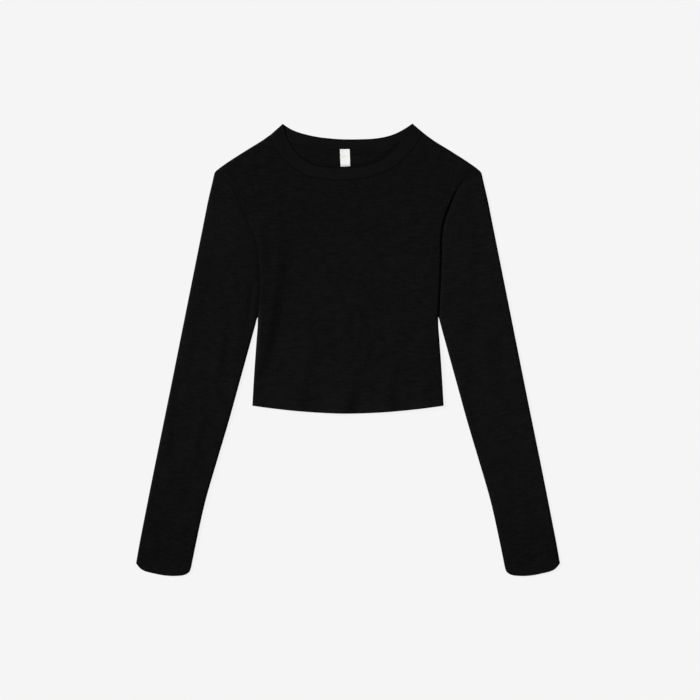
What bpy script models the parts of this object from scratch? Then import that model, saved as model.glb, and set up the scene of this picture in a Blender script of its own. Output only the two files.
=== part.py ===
"""A long-sleeved crop top of rib jersey, laid flat with its front up.

+X runs across the body, +Y towards the neck and +Z up from the surface it lies on.
The origin is the middle of the outline, on that surface.
Sizes are in millimetres and become metres when a mesh is made.
Right and left are as the layout is seen, with the neck away from the viewer.
"""

import bmesh
import bpy
import numpy as np

MM = 0.001  # metres in a millimetre

# Cloth walls and the gaps between pieces
WALL = 1.2  # jersey of the body and the sleeves
BAND_WALL = 1.8  # doubled rib of the neckband
LABEL_WALL = 0.5
SEAM_GAP = 0.35
LAYER_GAP = 0.3

# Folded edges: each wall turns down (or up) to the seam over this width
FOLD_WIDTH = 4.5
SEAM_ANGLES = np.radians((0, 45, 90))
FOLD_ANGLES = np.radians((14, 52, 90))
SEAM_LEVEL = 2.15  # side and shoulder seams, half way up the edge of the body

# Front of the body: height of its outer face
FRONT_LEVEL = 3.3
NECK_RISE = 0.6
NECK_RISE_REACH = 32.0
# distance in from the side edge, rise above FRONT_LEVEL
SIDE_RISE = np.array(((0, 1.0), (18, 1.5), (50, 0.75), (90, 0.1), (130, 0.0), (200, 0.0)))
CREST_AT = 18.0  # where that rise is greatest
EDGE_REACH = 14.0  # the rise at the edge itself holds at least this far in

# Sleeves
SLEEVE_TOP_AT_ARMHOLE = 2.7
SLEEVE_TOP = 3.9
SLEEVE_CUFF_DROP = 0.5
SLEEVE_CUFF_REACH = 60.0
SLEEVE_RISE_START = 10.0  # distance from the armhole line
SLEEVE_RISE_REACH = 35.0
ARMHOLE_TUCK = 8.0  # how far the sleeve's upper layer lies under the front's edge
ARMHOLE_TUCK_ROWS = 3.0  # mesh rows over which that builds up from either end

# Hem: lowest in the middle, rising as a parabola to the corners
HEM_CENTRE = -92.8
HEM_CORNER = (138.8, -80.5)

# Right-hand side seam, hem corner to underarm
SIDE_SEAM = (
    # across, up
    HEM_CORNER,
    (136.7, -44.2),
    (134.8, -15.2),
    (132.6, 13.8),
    (130.7, 42.0),
    (130.8, 56.0),
)

# Armhole lines, underarm to shoulder tip; the two sides lie a little differently
SHOULDER_TIP = (187.5, 263.2)
ARMHOLE_RIGHT = (
    (130.8, 56.0),
    (132.0, 90.0),
    (133.2, 125.0),
    (133.6, 160.0),
    (136.0, 184.0),
    (141.5, 201.5),
    (150.0, 222.0),
    (160.5, 240.5),
    (173.0, 252.5),
    SHOULDER_TIP,
)
ARMHOLE_LEFT = (
    (130.8, 56.0),
    (129.3, 90.0),
    (129.6, 122.0),
    (131.6, 150.0),
    (135.4, 170.0),
    (142.2, 188.0),
    (151.0, 207.5),
    (160.5, 227.0),
    (171.5, 245.0),
    SHOULDER_TIP,
)

# Shoulder line between the tip and the neckband, and where the band crosses it
SHOULDER = ((175.1, 271.9), (148.0, 289.3), (120.3, 306.7))
NECK_POINT_RIGHT = (109.0, 315.3)
NECK_POINT_LEFT = (112.3, 312.5)
BAND_PEAK = (94.3, 327.6)

# Neckband, from the left neck point to the right one
FRONT_NECK_SEAM = (
    (-NECK_POINT_LEFT[0], NECK_POINT_LEFT[1]),
    (-107.6, 299.5),
    (-99.6, 286.0),
    (-88.8, 273.5),
    (-75.5, 262.3),
    (-55.0, 252.0),
    (-31.0, 247.2),
    (0.0, 246.6),
    (20.0, 248.4),
    (40.0, 253.2),
    (60.4, 262.2),
    (76.0, 274.4),
    (90.0, 289.5),
    (100.0, 302.0),
    NECK_POINT_RIGHT,
)
FRONT_NECK_EDGE = (
    (-BAND_PEAK[0], BAND_PEAK[1]),
    (-89.6, 309.0),
    (-82.5, 296.4),
    (-68.6, 281.1),
    (-53.3, 272.2),
    (-35.3, 267.2),
    (-12.0, 265.3),
    (10.5, 266.8),
    (28.5, 270.5),
    (45.0, 276.7),
    (68.7, 293.2),
    (84.0, 307.0),
    BAND_PEAK,
)
# Back neck lines: height in the middle, and how steeply they rise to the left and to the right
BACK_NECK_SEAM = (290.5, 2.6, 2.6)
BACK_NECK_EDGE = (305.5, 2.6, 3.05)

# Sleeve: inner fold from the underarm, cuff and outer fold from the shoulder tip
SLEEVE_INNER = (
    (131.4, 56.0),
    (133.2, 42.0),
    (140.6, 13.8),
    (156.6, -44.2),
    (172.6, -102.2),
    (189.8, -160.2),
    (206.6, -218.2),
    (219.6, -276.2),
    (227.8, -316.5),
)
CUFF = (
    SLEEVE_INNER[-1],
    (230.4, -322.9),
    (237.0, -326.4),
    (249.5, -327.8),
    (279.0, -324.7),
    (300.5, -317.2),
    (307.3, -309.5),
)
SLEEVE_OUTER = (
    (187.8, 262.9),
    (191.2, 260.2),
    (193.5, 257.2),
    (194.8, 252.5),
    (196.2, 246.2),
    (203.0, 216.8),
    (208.8, 187.8),
    (237.8, 42.8),
    (261.0, -73.2),
    (284.6, -189.2),
    CUFF[-1],
)

# Soft waves that lift the hem and die out up the body
HEM_WAVE_REACH = 95.0
HEM_WAVE_SIDE_FADE = 24.0  # and they die out this near the sides
HEM_WAVES = (
    # centre across, half width, lift at the hem
    (-75.0, 19.0, 1.5),
    (-1.5, 21.0, 2.0),
    (57.0, 17.0, 1.5),
    (110.0, 15.0, 1.0),
)

# Raised strip along the left side, between the side edge and this slanting line
STRIP_RISE = 1.5
STRIP_TOP = (-82.7, 130.5)
STRIP_FOOT = (-130.5, -32.0)
STRIP_SLOPE_WIDTH = 22.0
STRIP_FADE = (128.0, 192.0)  # the strip is gone above the second height

# Long shallow ridges on the sleeves' upper layer
SLEEVE_RIDGES = {
    "left": (
        # top across, top up, foot across, foot up, half width, rise
        (168.0, 66.0, 184.0, -42.0, 11.0, 0.55),
        (238.0, -8.0, 252.0, -112.0, 12.0, 0.45),
        (206.0, -104.0, 224.0, -182.0, 10.0, 0.5),
        (250.0, -196.0, 266.0, -268.0, 12.0, 0.45),
    ),
    "right": (
        (196.0, 120.0, 206.0, 30.0, 12.0, 0.45),
        (170.0, 32.0, 188.0, -58.0, 11.0, 0.55),
        (240.0, -70.0, 258.0, -160.0, 12.0, 0.5),
        (226.0, -196.0, 240.0, -262.0, 10.0, 0.45),
    ),
}

# Neck label, hanging from the back neck seam
LABEL_TOP = (-5.2, 292.5)
LABEL_WIDTH = 16.0
LABEL_LENGTH = 31.0
LABEL_LEAN = 1.9  # its foot lies this far to the right
# distance down the label, height of its underside
LABEL_LEVELS = ((0.0, 2.1), (3.0, 2.1), (7.0, 1.5), (19.0, 1.5), (31.0, 1.5))

# Mesh steps
SIDE_ROWS = 9
ARMHOLE_ROWS = 16
SHOULDER_ROWS = 6
SLEEVE_ROWS = 16
FRONT_COLUMNS = 18
BACK_COLUMNS = 8
SLEEVE_UPPER_COLUMNS = 5
SLEEVE_LOWER_COLUMNS = 2
BAND_ROWS = 5
LABEL_COLUMNS = 3
CURVE_STEPS = 80  # of each plain outline curve
SHARP_ANGLE = np.radians(50)  # edges that turn more than this are drawn sharp

# Finishes: colour, roughness
JERSEY_FINISH = ((0.0055, 0.0055, 0.006, 1.0), 0.85)
RIB_FINISH = ((0.0065, 0.0065, 0.007, 1.0), 0.85)
LABEL_FINISH = ((0.85, 0.85, 0.84, 1.0), 0.6)


def smooth_step(x):
    """0 below 0, 1 above 1, and a soft S between."""
    x = np.clip(x, 0.0, 1.0)
    return x * x * (3.0 - 2.0 * x)


def hermite(knots, values, t):
    """A smooth curve through values at knots, read at t."""
    slopes = np.gradient(values, knots, axis=0)
    i = np.clip(np.searchsorted(knots, t, side="right") - 1, 0, len(knots) - 2)
    span = knots[i + 1] - knots[i]
    s = (t - knots[i]) / span
    if values.ndim > 1:
        span = span[..., None]
        s = s[..., None]
    start = (2 * s**3 - 3 * s**2 + 1) * values[i] + (s**3 - 2 * s**2 + s) * span * slopes[i]
    end = (3 * s**2 - 2 * s**3) * values[i + 1] + (s**3 - s**2) * span * slopes[i + 1]
    return start + end


def arc_lengths(points):
    """Distance along a polyline from its first point to each point."""
    steps = np.linalg.norm(np.diff(points, axis=0), axis=1)
    return np.concatenate(([0.0], np.cumsum(steps)))


def smooth_curve(points, steps_per_span=16):
    """A fine polyline on the smooth curve through the points."""
    points = np.array(points, float)
    knots = arc_lengths(points)
    t = np.linspace(0.0, knots[-1], steps_per_span * (len(points) - 1) + 1)
    return hermite(knots, points, t)


def along(curve, fraction):
    """Points of a polyline at fractions of its length."""
    lengths = arc_lengths(curve) / arc_lengths(curve)[-1]
    return np.stack([np.interp(fraction, lengths, curve[:, i]) for i in (0, 1)], axis=-1)


def distance_to(curve, points):
    """Shortest distance from each point to a polyline."""
    start = curve[:-1]
    step = np.diff(curve, axis=0)
    offset = points[..., None, :] - start
    reach = np.clip((offset * step).sum(axis=-1) / (step**2).sum(axis=-1), 0.0, 1.0)
    return np.linalg.norm(offset - reach[..., None] * step, axis=-1).min(axis=-1)


def normals_of(curve):
    """Unit normals to the right of a polyline's direction of travel."""
    tangent = np.gradient(curve, axis=0)
    tangent /= np.linalg.norm(tangent, axis=1, keepdims=True)
    return np.stack((tangent[:, 1], -tangent[:, 0]), axis=-1)


def back_neck_line(left_end, right_end, centre, left_power, right_power):
    """A line, flat in the middle, that rises to its ends as a power of the distance across."""
    across = np.linspace(-left_end[0], right_end[0], CURVE_STEPS + 1)
    left = across < 0.0
    reach = np.where(left, left_end[0], right_end[0])
    rise = np.where(left, left_end[1], right_end[1]) - centre
    power = np.where(left, left_power, right_power)
    return np.stack((across, centre + rise * np.abs(across / reach) ** power), axis=-1)


class Layer:
    """One layer of cloth in plan: rows that run from a left edge to a right edge.

    The first and last rows follow curves of their own, and bend_power says how soon the rows
    between them straighten. roll_left and roll_right say, row by row, whether that edge turns over
    in a fold (1) or ends flat (0).
    """

    def __init__(
        self, left, right, first, last, roll_left, roll_right, columns, angles, bend_power=3
    ):
        self.left = left
        self.right = right
        self.first = first
        self.last = last
        self.bend_power = bend_power
        self.roll_left = roll_left
        self.roll_right = roll_right
        self.columns = columns
        self.angles = angles

    def bend(self, curve, fraction):
        """How far an end curve stands off the straight line between its two ends."""
        straight = curve[0] + fraction[..., None] * (curve[-1] - curve[0])
        return along(curve, fraction) - straight

    def points(self, fraction):
        """Plan points at fractions across the rows, with one row of fractions for each row."""
        share = np.linspace(0.0, 1.0, len(self.left))[:, None, None]
        straight = self.left[:, None] + fraction[..., None] * (self.right - self.left)[:, None]
        first = (1.0 - share) ** self.bend_power * self.bend(self.first, fraction)
        last = share**self.bend_power * self.bend(self.last, fraction)
        return straight + first + last

    def steps_in(self, edge, fraction, distances):
        """Fractions along each row that lie the given distances inside an edge."""
        nudge = 0.002
        ends = np.full((len(edge), 1), fraction)
        inside = np.abs(ends - nudge)
        row = (self.points(inside) - self.points(ends))[:, 0] / nudge
        tangent = np.gradient(edge, axis=0)
        tangent /= np.linalg.norm(tangent, axis=1, keepdims=True)
        crossing = np.abs(row[:, 0] * tangent[:, 1] - row[:, 1] * tangent[:, 0])
        return distances / crossing[:, None]

    def grid(self, inset):
        """Plan points of a face of the wall, set in by its thickness at the folds, and how far each
        point stands clear of the fold: 0 at the fold's tip and 1 where the cloth is flat."""
        turn = 1.0 - np.cos(self.angles)
        edges = []
        for edge, fraction, roll in (
            (self.left, 0.0, self.roll_left),
            (self.right, 1.0, self.roll_right),
        ):
            start = inset * roll[:, None]
            distances = start + (FOLD_WIDTH - start) * turn
            edges.append(self.steps_in(edge, fraction, distances))
        near_left, near_right = edges[0], 1.0 - edges[1][:, ::-1]
        middle = np.linspace(0.0, 1.0, self.columns + 2)[1:-1]
        width = (near_right[:, :1] - near_left[:, -1:]) * middle
        fraction = np.hstack((near_left, near_left[:, -1:] + width, near_right))
        sines = np.sin(self.angles)
        clear_left = 1.0 - self.roll_left[:, None] * (1.0 - sines)
        clear_right = 1.0 - self.roll_right[:, None] * (1.0 - sines[::-1])
        flat = np.ones((len(self.left), self.columns))
        return self.points(fraction), np.hstack((clear_left, flat, clear_right))


def layer_face(layer, inset, level, fold_level):
    """A face of a layer in space. level gives its height where it lies flat."""
    plan, clear = layer.grid(inset)
    height = fold_level + (level(plan) - fold_level) * clear
    return np.dstack((plan, height))


def wall_object(name, outer, inner, material, closed_from=None):
    """One closed wall between two faces of rows and columns of points.

    From row closed_from on, the last column joins the first, so that the wall is a tube.
    """
    rows, columns = outer.shape[:2]
    closed_from = rows if closed_from is None else closed_from
    mesh = bmesh.new()
    faces = [
        [[mesh.verts.new(point * MM) for point in row] for row in face]
        for face in (outer, inner)
    ]

    def strip(first, second, third, fourth):
        mesh.faces.new((first, second, third, fourth))

    for row in range(rows - 1):
        wraps = row >= closed_from
        for column in range(columns if wraps else columns - 1):
            after = (column + 1) % columns
            for face in faces:
                strip(face[row][column], face[row][after], face[row + 1][after], face[row + 1][column])
        if not wraps:
            for column in (0, columns - 1):
                a, b = faces
                strip(a[row][column], a[row + 1][column], b[row + 1][column], b[row][column])
    for row in (0, rows - 1):
        for column in range(columns if row >= closed_from else columns - 1):
            after = (column + 1) % columns
            a, b = faces
            strip(a[row][column], a[row][after], b[row][after], b[row][column])
    if 0 < closed_from < rows:
        a, b = (face[closed_from] for face in faces)
        strip(a[-1], a[0], b[0], b[-1])
    bmesh.ops.recalc_face_normals(mesh, faces=mesh.faces)
    data = bpy.data.meshes.new(name)
    mesh.to_mesh(data)
    mesh.free()
    data.materials.append(material)
    data.shade_smooth()
    data.set_sharp_from_angle(angle=SHARP_ANGLE)
    thing = bpy.data.objects.new(name, data)
    bpy.context.scene.collection.objects.link(thing)
    return thing


def cloth_material(name, finish):
    colour, roughness = finish
    material = bpy.data.materials.new(name)
    material.use_nodes = True
    shader = material.node_tree.nodes["Principled BSDF"]
    shader.inputs["Base Color"].default_value = colour
    shader.inputs["Roughness"].default_value = roughness
    shader.inputs["Metallic"].default_value = 0.0
    material.diffuse_color = colour
    return material


def stations(table, steps):
    """Evenly spaced points on the smooth curve through a table."""
    return along(smooth_curve(table), np.linspace(0.0, 1.0, steps + 1))


def body_edge(armhole, neck_point):
    """The body's edge from hem corner to neck point, one point for each row of the panels."""
    shoulder = (SHOULDER_TIP, *SHOULDER, neck_point)
    return np.vstack(
        (
            stations(SIDE_SEAM, SIDE_ROWS),
            stations(armhole, ARMHOLE_ROWS)[1:],
            stations(shoulder, SHOULDER_ROWS)[1:],
        )
    )


def body_edges():
    """The left edge, mirrored from its tables, and the right one."""
    left = body_edge(ARMHOLE_LEFT, NECK_POINT_LEFT)
    right = body_edge(ARMHOLE_RIGHT, NECK_POINT_RIGHT)
    return left * (-1.0, 1.0), right


def hem_height(across):
    """How far up the hem lies at a distance across."""
    return HEM_CENTRE + (HEM_CORNER[1] - HEM_CENTRE) * (across / HEM_CORNER[0]) ** 2


def hem_curve():
    across = np.linspace(-HEM_CORNER[0], HEM_CORNER[0], CURVE_STEPS + 1)
    return np.stack((across, hem_height(across)), axis=-1)


def neck_curves():
    """Seam and free edge of the neckband, front and back, from left to right."""
    return {
        "front_seam": smooth_curve(FRONT_NECK_SEAM),
        "front_edge": smooth_curve(FRONT_NECK_EDGE),
        "back_seam": back_neck_line(NECK_POINT_LEFT, NECK_POINT_RIGHT, *BACK_NECK_SEAM),
        "back_edge": back_neck_line(BAND_PEAK, BAND_PEAK, *BACK_NECK_EDGE),
    }


def body_rolls():
    """1 on the rows whose edge is a side or shoulder seam, 0 along the armhole."""
    rows = SIDE_ROWS + ARMHOLE_ROWS + SHOULDER_ROWS + 1
    roll = np.ones(rows)
    roll[SIDE_ROWS + 1 : SIDE_ROWS + ARMHOLE_ROWS] = 0.0
    return roll


def front_height(plan):
    """Height of the front's outer face, with its side swell, left strip, neck rise and hem waves."""
    across, up = plan[..., 0], plan[..., 1]
    left, right = body_edges()
    from_side = np.minimum(distance_to(left, plan), distance_to(right, plan))
    reach, rise = SIDE_RISE.T
    swell = hermite(reach, rise, from_side)
    lean = (STRIP_TOP[0] - STRIP_FOOT[0]) / (STRIP_TOP[1] - STRIP_FOOT[1])
    strip_edge = STRIP_FOOT[0] + lean * (up - STRIP_FOOT[1])
    strip = STRIP_RISE * smooth_step((strip_edge - across) / STRIP_SLOPE_WIDTH + 0.5)
    strip = np.minimum(strip, hermite(reach, rise, np.minimum(from_side, CREST_AT)))
    strip_fade = 1.0 - smooth_step((up - STRIP_FADE[0]) / (STRIP_FADE[1] - STRIP_FADE[0]))
    side = swell + np.where(across < 0.0, strip_fade, 0.0) * (strip - swell)
    side = np.maximum(side, rise[0] * (1.0 - smooth_step(from_side / EDGE_REACH)))
    from_neck = distance_to(neck_curves()["front_seam"], plan)
    neck = NECK_RISE * (1.0 - smooth_step(from_neck / NECK_RISE_REACH))
    above_hem = np.clip((up - hem_height(across)) / HEM_WAVE_REACH, 0.0, 1.0)
    fade = (1.0 - above_hem) ** 2 * smooth_step(from_side / HEM_WAVE_SIDE_FADE)
    waves = 0.0
    for centre, width, lift in HEM_WAVES:
        waves = waves + lift * np.exp(-(((across - centre) / width) ** 2))
    return FRONT_LEVEL + np.hypot(side, neck) + fade * waves


def panel_layer(neck_seam, columns):
    left, right = body_edges()
    roll = body_rolls()
    return Layer(left, right, hem_curve(), neck_seam, roll, roll, columns, SEAM_ANGLES)


def build_front(material):
    layer = panel_layer(neck_curves()["front_seam"], FRONT_COLUMNS)
    seam = SEAM_LEVEL + LAYER_GAP / 2
    outer = layer_face(layer, 0.0, front_height, seam)
    inner = layer_face(layer, WALL, lambda plan: front_height(plan) - WALL, seam)
    wall_object("front_panel", outer, inner, material)


def flat_level(height):
    return lambda plan: np.full(plan.shape[:2], height)


def build_back(material):
    layer = panel_layer(neck_curves()["back_seam"], BACK_COLUMNS)
    seam = SEAM_LEVEL - LAYER_GAP / 2
    outer = layer_face(layer, 0.0, flat_level(0.0), seam)
    inner = layer_face(layer, WALL, flat_level(WALL), seam)
    wall_object("back_panel", outer, inner, material)


def sleeve_height(armhole, cuff, ridges):
    """A function that gives the height of the sleeve's upper face at plan points."""

    def height(plan):
        from_armhole = distance_to(armhole, plan)
        rise = smooth_step((from_armhole - SLEEVE_RISE_START) / SLEEVE_RISE_REACH)
        drop = SLEEVE_CUFF_DROP * (1.0 - smooth_step(distance_to(cuff, plan) / SLEEVE_CUFF_REACH))
        top = SLEEVE_TOP_AT_ARMHOLE + (SLEEVE_TOP - SLEEVE_TOP_AT_ARMHOLE - drop) * rise
        for *line, width, lift in ridges:
            from_ridge = distance_to(np.reshape(line, (2, 2)), plan)
            top = top + lift * np.exp(-((from_ridge / width) ** 2))
        return top

    return height


def build_sleeve(side, material):
    """A flattened tube, open at the cuff and along the armhole, worked out on the right."""
    armhole = stations(ARMHOLE_LEFT if side == "left" else ARMHOLE_RIGHT, ARMHOLE_ROWS)[::-1]
    outward = -normals_of(armhole)
    lower = armhole + outward * SEAM_GAP
    steps = np.arange(ARMHOLE_ROWS + 1)
    from_ends = np.minimum(steps, ARMHOLE_ROWS - steps) - 1
    tuck = (ARMHOLE_TUCK + SEAM_GAP) * smooth_step(from_ends / ARMHOLE_TUCK_ROWS)
    upper = lower - outward * tuck[:, None]
    inner_fold = stations(SLEEVE_INNER, SLEEVE_ROWS)
    outer_fold = smooth_curve(SLEEVE_OUTER)
    cuff = smooth_curve(CUFF)
    height = sleeve_height(armhole, cuff, SLEEVE_RIDGES[side])
    open_rows = ARMHOLE_ROWS - 1
    faces = []
    for inset in (0.0, WALL):
        halves = []
        for edge, columns in ((upper, SLEEVE_UPPER_COLUMNS), (lower, SLEEVE_LOWER_COLUMNS)):
            inner_edge = np.vstack((edge[1:-1], inner_fold))
            reach = arc_lengths(inner_edge) / arc_lengths(inner_edge)[-1]
            outer_edge = along(outer_fold, reach)
            outer_edge[0] = lower[0]
            ends = (np.array((edge[1], lower[0])), cuff)
            roll_outer = np.ones(len(inner_edge))
            roll_inner = np.where(np.arange(len(inner_edge)) < open_rows, 0.0, 1.0)
            layer = Layer(inner_edge, outer_edge, *ends, roll_inner, roll_outer, columns, FOLD_ANGLES)
            plan, clear = layer.grid(inset)
            top = height(plan)
            if edge is upper:
                level = top - inset
            else:
                level = np.full(top.shape, inset)
            halves.append(np.dstack((plan, top / 2 + (level - top / 2) * clear)))
        faces.append(np.hstack((halves[0], halves[1][:, ::-1])))
    if side == "left":
        faces = [face * (-1.0, 1.0, 1.0) for face in faces]
    wall_object(f"sleeve_{side}", *faces, material, closed_from=open_rows)


def build_neckband(material):
    """A ring of doubled rib, folded flat at the two shoulder points."""
    curves = neck_curves()
    share = np.linspace(0.0, 1.0, BAND_ROWS)[:, None]
    mid = SEAM_LEVEL + LAYER_GAP / 2
    faces = []
    for inset in (0.0, BAND_WALL):
        halves = []
        for half, columns in (("front", FRONT_COLUMNS), ("back", BACK_COLUMNS)):
            seam, edge = curves[half + "_seam"], curves[half + "_edge"]
            even = np.linspace(0.0, 1.0, CURVE_STEPS + 1)
            across = along(edge, even) - along(seam, even)
            width = np.linalg.norm(across, axis=1, keepdims=True)
            seam = along(seam, even) + across / width * SEAM_GAP
            left = (1.0 - share) * seam[0] + share * edge[0]
            right = (1.0 - share) * seam[-1] + share * edge[-1]
            roll = np.ones(BAND_ROWS)
            layer = Layer(left, right, seam, edge, roll, roll, columns, FOLD_ANGLES, bend_power=1)
            plan, clear = layer.grid(inset)
            if half == "front":
                along_seam = np.broadcast_to(plan[:1], plan.shape)
                level = front_height(along_seam) + (BAND_WALL - WALL) / 2 - inset
            else:
                level = np.full(clear.shape, inset)
            halves.append(np.dstack((plan, mid + (level - mid) * clear)))
        faces.append(np.hstack((halves[0], halves[1][:, ::-1])))
    wall_object("neckband", *faces, material, closed_from=0)


def build_label(material):
    """A flat tape that steps up over the lower edge of the neckband's back."""
    down, level = np.array(LABEL_LEVELS).T
    across = np.linspace(-0.5, 0.5, LABEL_COLUMNS + 1) * LABEL_WIDTH
    lean = LABEL_LEAN * down / LABEL_LENGTH
    grid_across = LABEL_TOP[0] + across + lean[:, None]
    grid_up = np.repeat((LABEL_TOP[1] - down)[:, None], len(across), axis=1)
    grid_level = np.repeat(level[:, None], len(across), axis=1)
    under = np.dstack((grid_across, grid_up, grid_level))
    wall_object("label", under + (0.0, 0.0, LABEL_WALL), under, material)


def main():
    for thing in list(bpy.data.objects):
        bpy.data.objects.remove(thing)
    jersey = cloth_material("black_jersey", JERSEY_FINISH)
    build_front(jersey)
    build_back(jersey)
    build_sleeve("left", jersey)
    build_sleeve("right", jersey)
    build_neckband(cloth_material("black_rib", RIB_FINISH))
    build_label(cloth_material("white_label", LABEL_FINISH))


main()
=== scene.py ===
import bmesh
import bpy
import numpy as np
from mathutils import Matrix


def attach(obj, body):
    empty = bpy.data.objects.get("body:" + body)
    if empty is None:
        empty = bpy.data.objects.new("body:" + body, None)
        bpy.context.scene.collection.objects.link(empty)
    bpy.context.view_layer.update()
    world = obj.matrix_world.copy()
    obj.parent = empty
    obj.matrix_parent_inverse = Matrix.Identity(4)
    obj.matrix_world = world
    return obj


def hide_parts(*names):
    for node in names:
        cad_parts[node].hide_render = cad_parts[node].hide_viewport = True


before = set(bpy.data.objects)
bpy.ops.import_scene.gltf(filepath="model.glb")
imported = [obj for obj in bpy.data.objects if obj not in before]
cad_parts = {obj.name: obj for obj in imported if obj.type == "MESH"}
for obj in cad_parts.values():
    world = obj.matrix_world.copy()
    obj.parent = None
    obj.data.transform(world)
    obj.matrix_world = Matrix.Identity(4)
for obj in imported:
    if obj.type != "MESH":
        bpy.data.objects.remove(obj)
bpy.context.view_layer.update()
mm = 0.001  # lengths below are in millimetres, and meshes are made in metres
print("frame loaded, nodes:", ", ".join(sorted(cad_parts)))


# curves and fields

def smoothStep(x):
    # 0 below 0, 1 above 1 and 3x^2 - 2x^3 between
    x = np.clip(x, 0.0, 1.0)
    return x * x * (3.0 - 2.0 * x)


def bell(x):
    # exp(-x^2), a soft bump of height 1
    return np.exp(-np.square(x))


def readCurve(knots, values, slopes, t):
    # cubic Hermite curve through the values, with the slope given at each
    i = np.clip(np.searchsorted(knots, t, side="right") - 1, 0, len(knots) - 2)
    span = knots[i + 1] - knots[i]
    s = (t - knots[i]) / span
    if values.ndim > 1:
        span = span[..., None]
        s = s[..., None]
    start = (2 * s**3 - 3 * s**2 + 1) * values[i] + (s**3 - 2 * s**2 + s) * span * slopes[i]
    return start + (3 * s**2 - 2 * s**3) * values[i + 1] + (s**3 - s**2) * span * slopes[i + 1]


def arcLengths(points):
    # running length along a polyline, starting at 0
    steps = np.linalg.norm(np.diff(points, axis=0), axis=1)
    return np.concatenate(([0.0], np.cumsum(steps)))


def smoothCurve(points, stepsPerSpan=16):
    # fine polyline on the Hermite curve through a table of points
    points = np.array(points, float)
    knots = arcLengths(points)
    slopes = np.gradient(points, knots, axis=0)
    return readCurve(knots, points, slopes, np.linspace(0.0, knots[-1], stepsPerSpan * (len(points) - 1) + 1))


def along(curve, share):
    # points of a polyline at shares of its length
    lengths = arcLengths(curve)
    reach = np.asarray(share) * lengths[-1]
    return np.stack([np.interp(reach, lengths, column) for column in curve.T], axis=-1)


def distanceTo(curve, points):
    # shortest distance from each point to a polyline: the least over its spans
    start = curve[:-1]
    step = np.diff(curve, axis=0)
    offset = points[..., None, :] - start
    reach = np.clip((offset * step).sum(axis=-1) / (step**2).sum(axis=-1), 0.0, 1.0)
    return np.linalg.norm(offset - reach[..., None] * step, axis=-1).min(axis=-1)


def unevenness(points, seed, size, lift):
    # sum of plane waves of random direction and phase, of about one wavelength
    dice = np.random.RandomState(seed)
    total = 0.0
    waves = 18
    for turn, phase, stretch in zip(
        dice.uniform(0, np.pi, waves), dice.uniform(0, 2 * np.pi, waves), dice.uniform(0.6, 1.7, waves)
    ):
        across = points[..., 0] * np.cos(turn) + points[..., 1] * np.sin(turn)
        total = total + np.sin(2 * np.pi * across / (size * stretch) + phase)
    return lift * total / np.sqrt(waves / 2)


def creases(points, table):
    # each row is a soft ridge along a line: rise * exp(-(distance / width)^2), with a width of its own
    # to the left and to the right of the line as it goes from its first point to its last
    total = 0.0
    for leftWidth, rightWidth, rise, *line in table:
        line = np.array(line, float)
        forward = line[-1] - line[0]
        offset = points - line[0]
        isLeft = forward[0] * offset[..., 1] - forward[1] * offset[..., 0] > 0.0
        total = total + rise * bell(distanceTo(line, points) / np.where(isLeft, leftWidth, rightWidth))
    return total


def readTable(table, t):
    # cubic curve through rows of position and value that never leaves the range of two neighbours: the slope
    # at a row is the harmonic mean of the slopes on its two sides, and 0 where they turn
    knots, values = np.array(table, float).T
    rises = np.diff(values) / np.diff(knots)
    before, after = rises[:-1], rises[1:]
    turns = before * after <= 0.0
    middle = np.where(turns, 0.0, 2.0 * before * after / np.where(turns, 1.0, before + after))
    slopes = np.concatenate((rises[:1], middle, rises[-1:]))
    return readCurve(knots, values, slopes, np.clip(t, knots[0], knots[-1]))


# the lay of one layer: rows of points between a left and a right edge

def spread(layer, fraction):
    # a row is the line between its edge points, plus the bends of the first and the last curve,
    # which fade as (1 - share)^power and share^power
    def bend(curve):
        return along(curve, fraction) - (curve[0] + fraction[..., None] * (curve[-1] - curve[0]))

    share = layer["share"][:, None, None]
    straight = layer["left"][:, None] + fraction[..., None] * (layer["right"] - layer["left"])[:, None]
    atFirst, atLast = (1 - share) ** layer["power"], share ** layer["power"]
    return straight + atFirst * bend(layer["first"]) + atLast * bend(layer["last"])


def stepsIn(layer, side, distances):
    # shares across each row that lie the given distances inside an edge: the distance over the rate at which
    # the row leaves the edge, the least rate of the rows around it
    edge = layer[side]
    nudge = 0.002
    widest = 0.42  # part of a row that one fold may take
    ends = np.full((len(edge), 1), 0.0 if side == "left" else 1.0)
    row = (spread(layer, np.abs(ends - nudge)) - spread(layer, ends))[:, 0] / nudge
    tangent = np.gradient(edge, axis=0)
    tangent /= np.linalg.norm(tangent, axis=1, keepdims=True)
    crossing = np.abs(row[:, 0] * tangent[:, 1] - row[:, 1] * tangent[:, 0])
    rowsAround = 2
    padded = np.pad(crossing, rowsAround, mode="edge")
    crossing = np.minimum.reduce([padded[i : i + len(crossing)] for i in range(2 * rowsAround + 1)])
    steps = distances / crossing[:, None]
    return steps * np.minimum(1.0, widest / np.abs(steps[:, -1:]))


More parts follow.
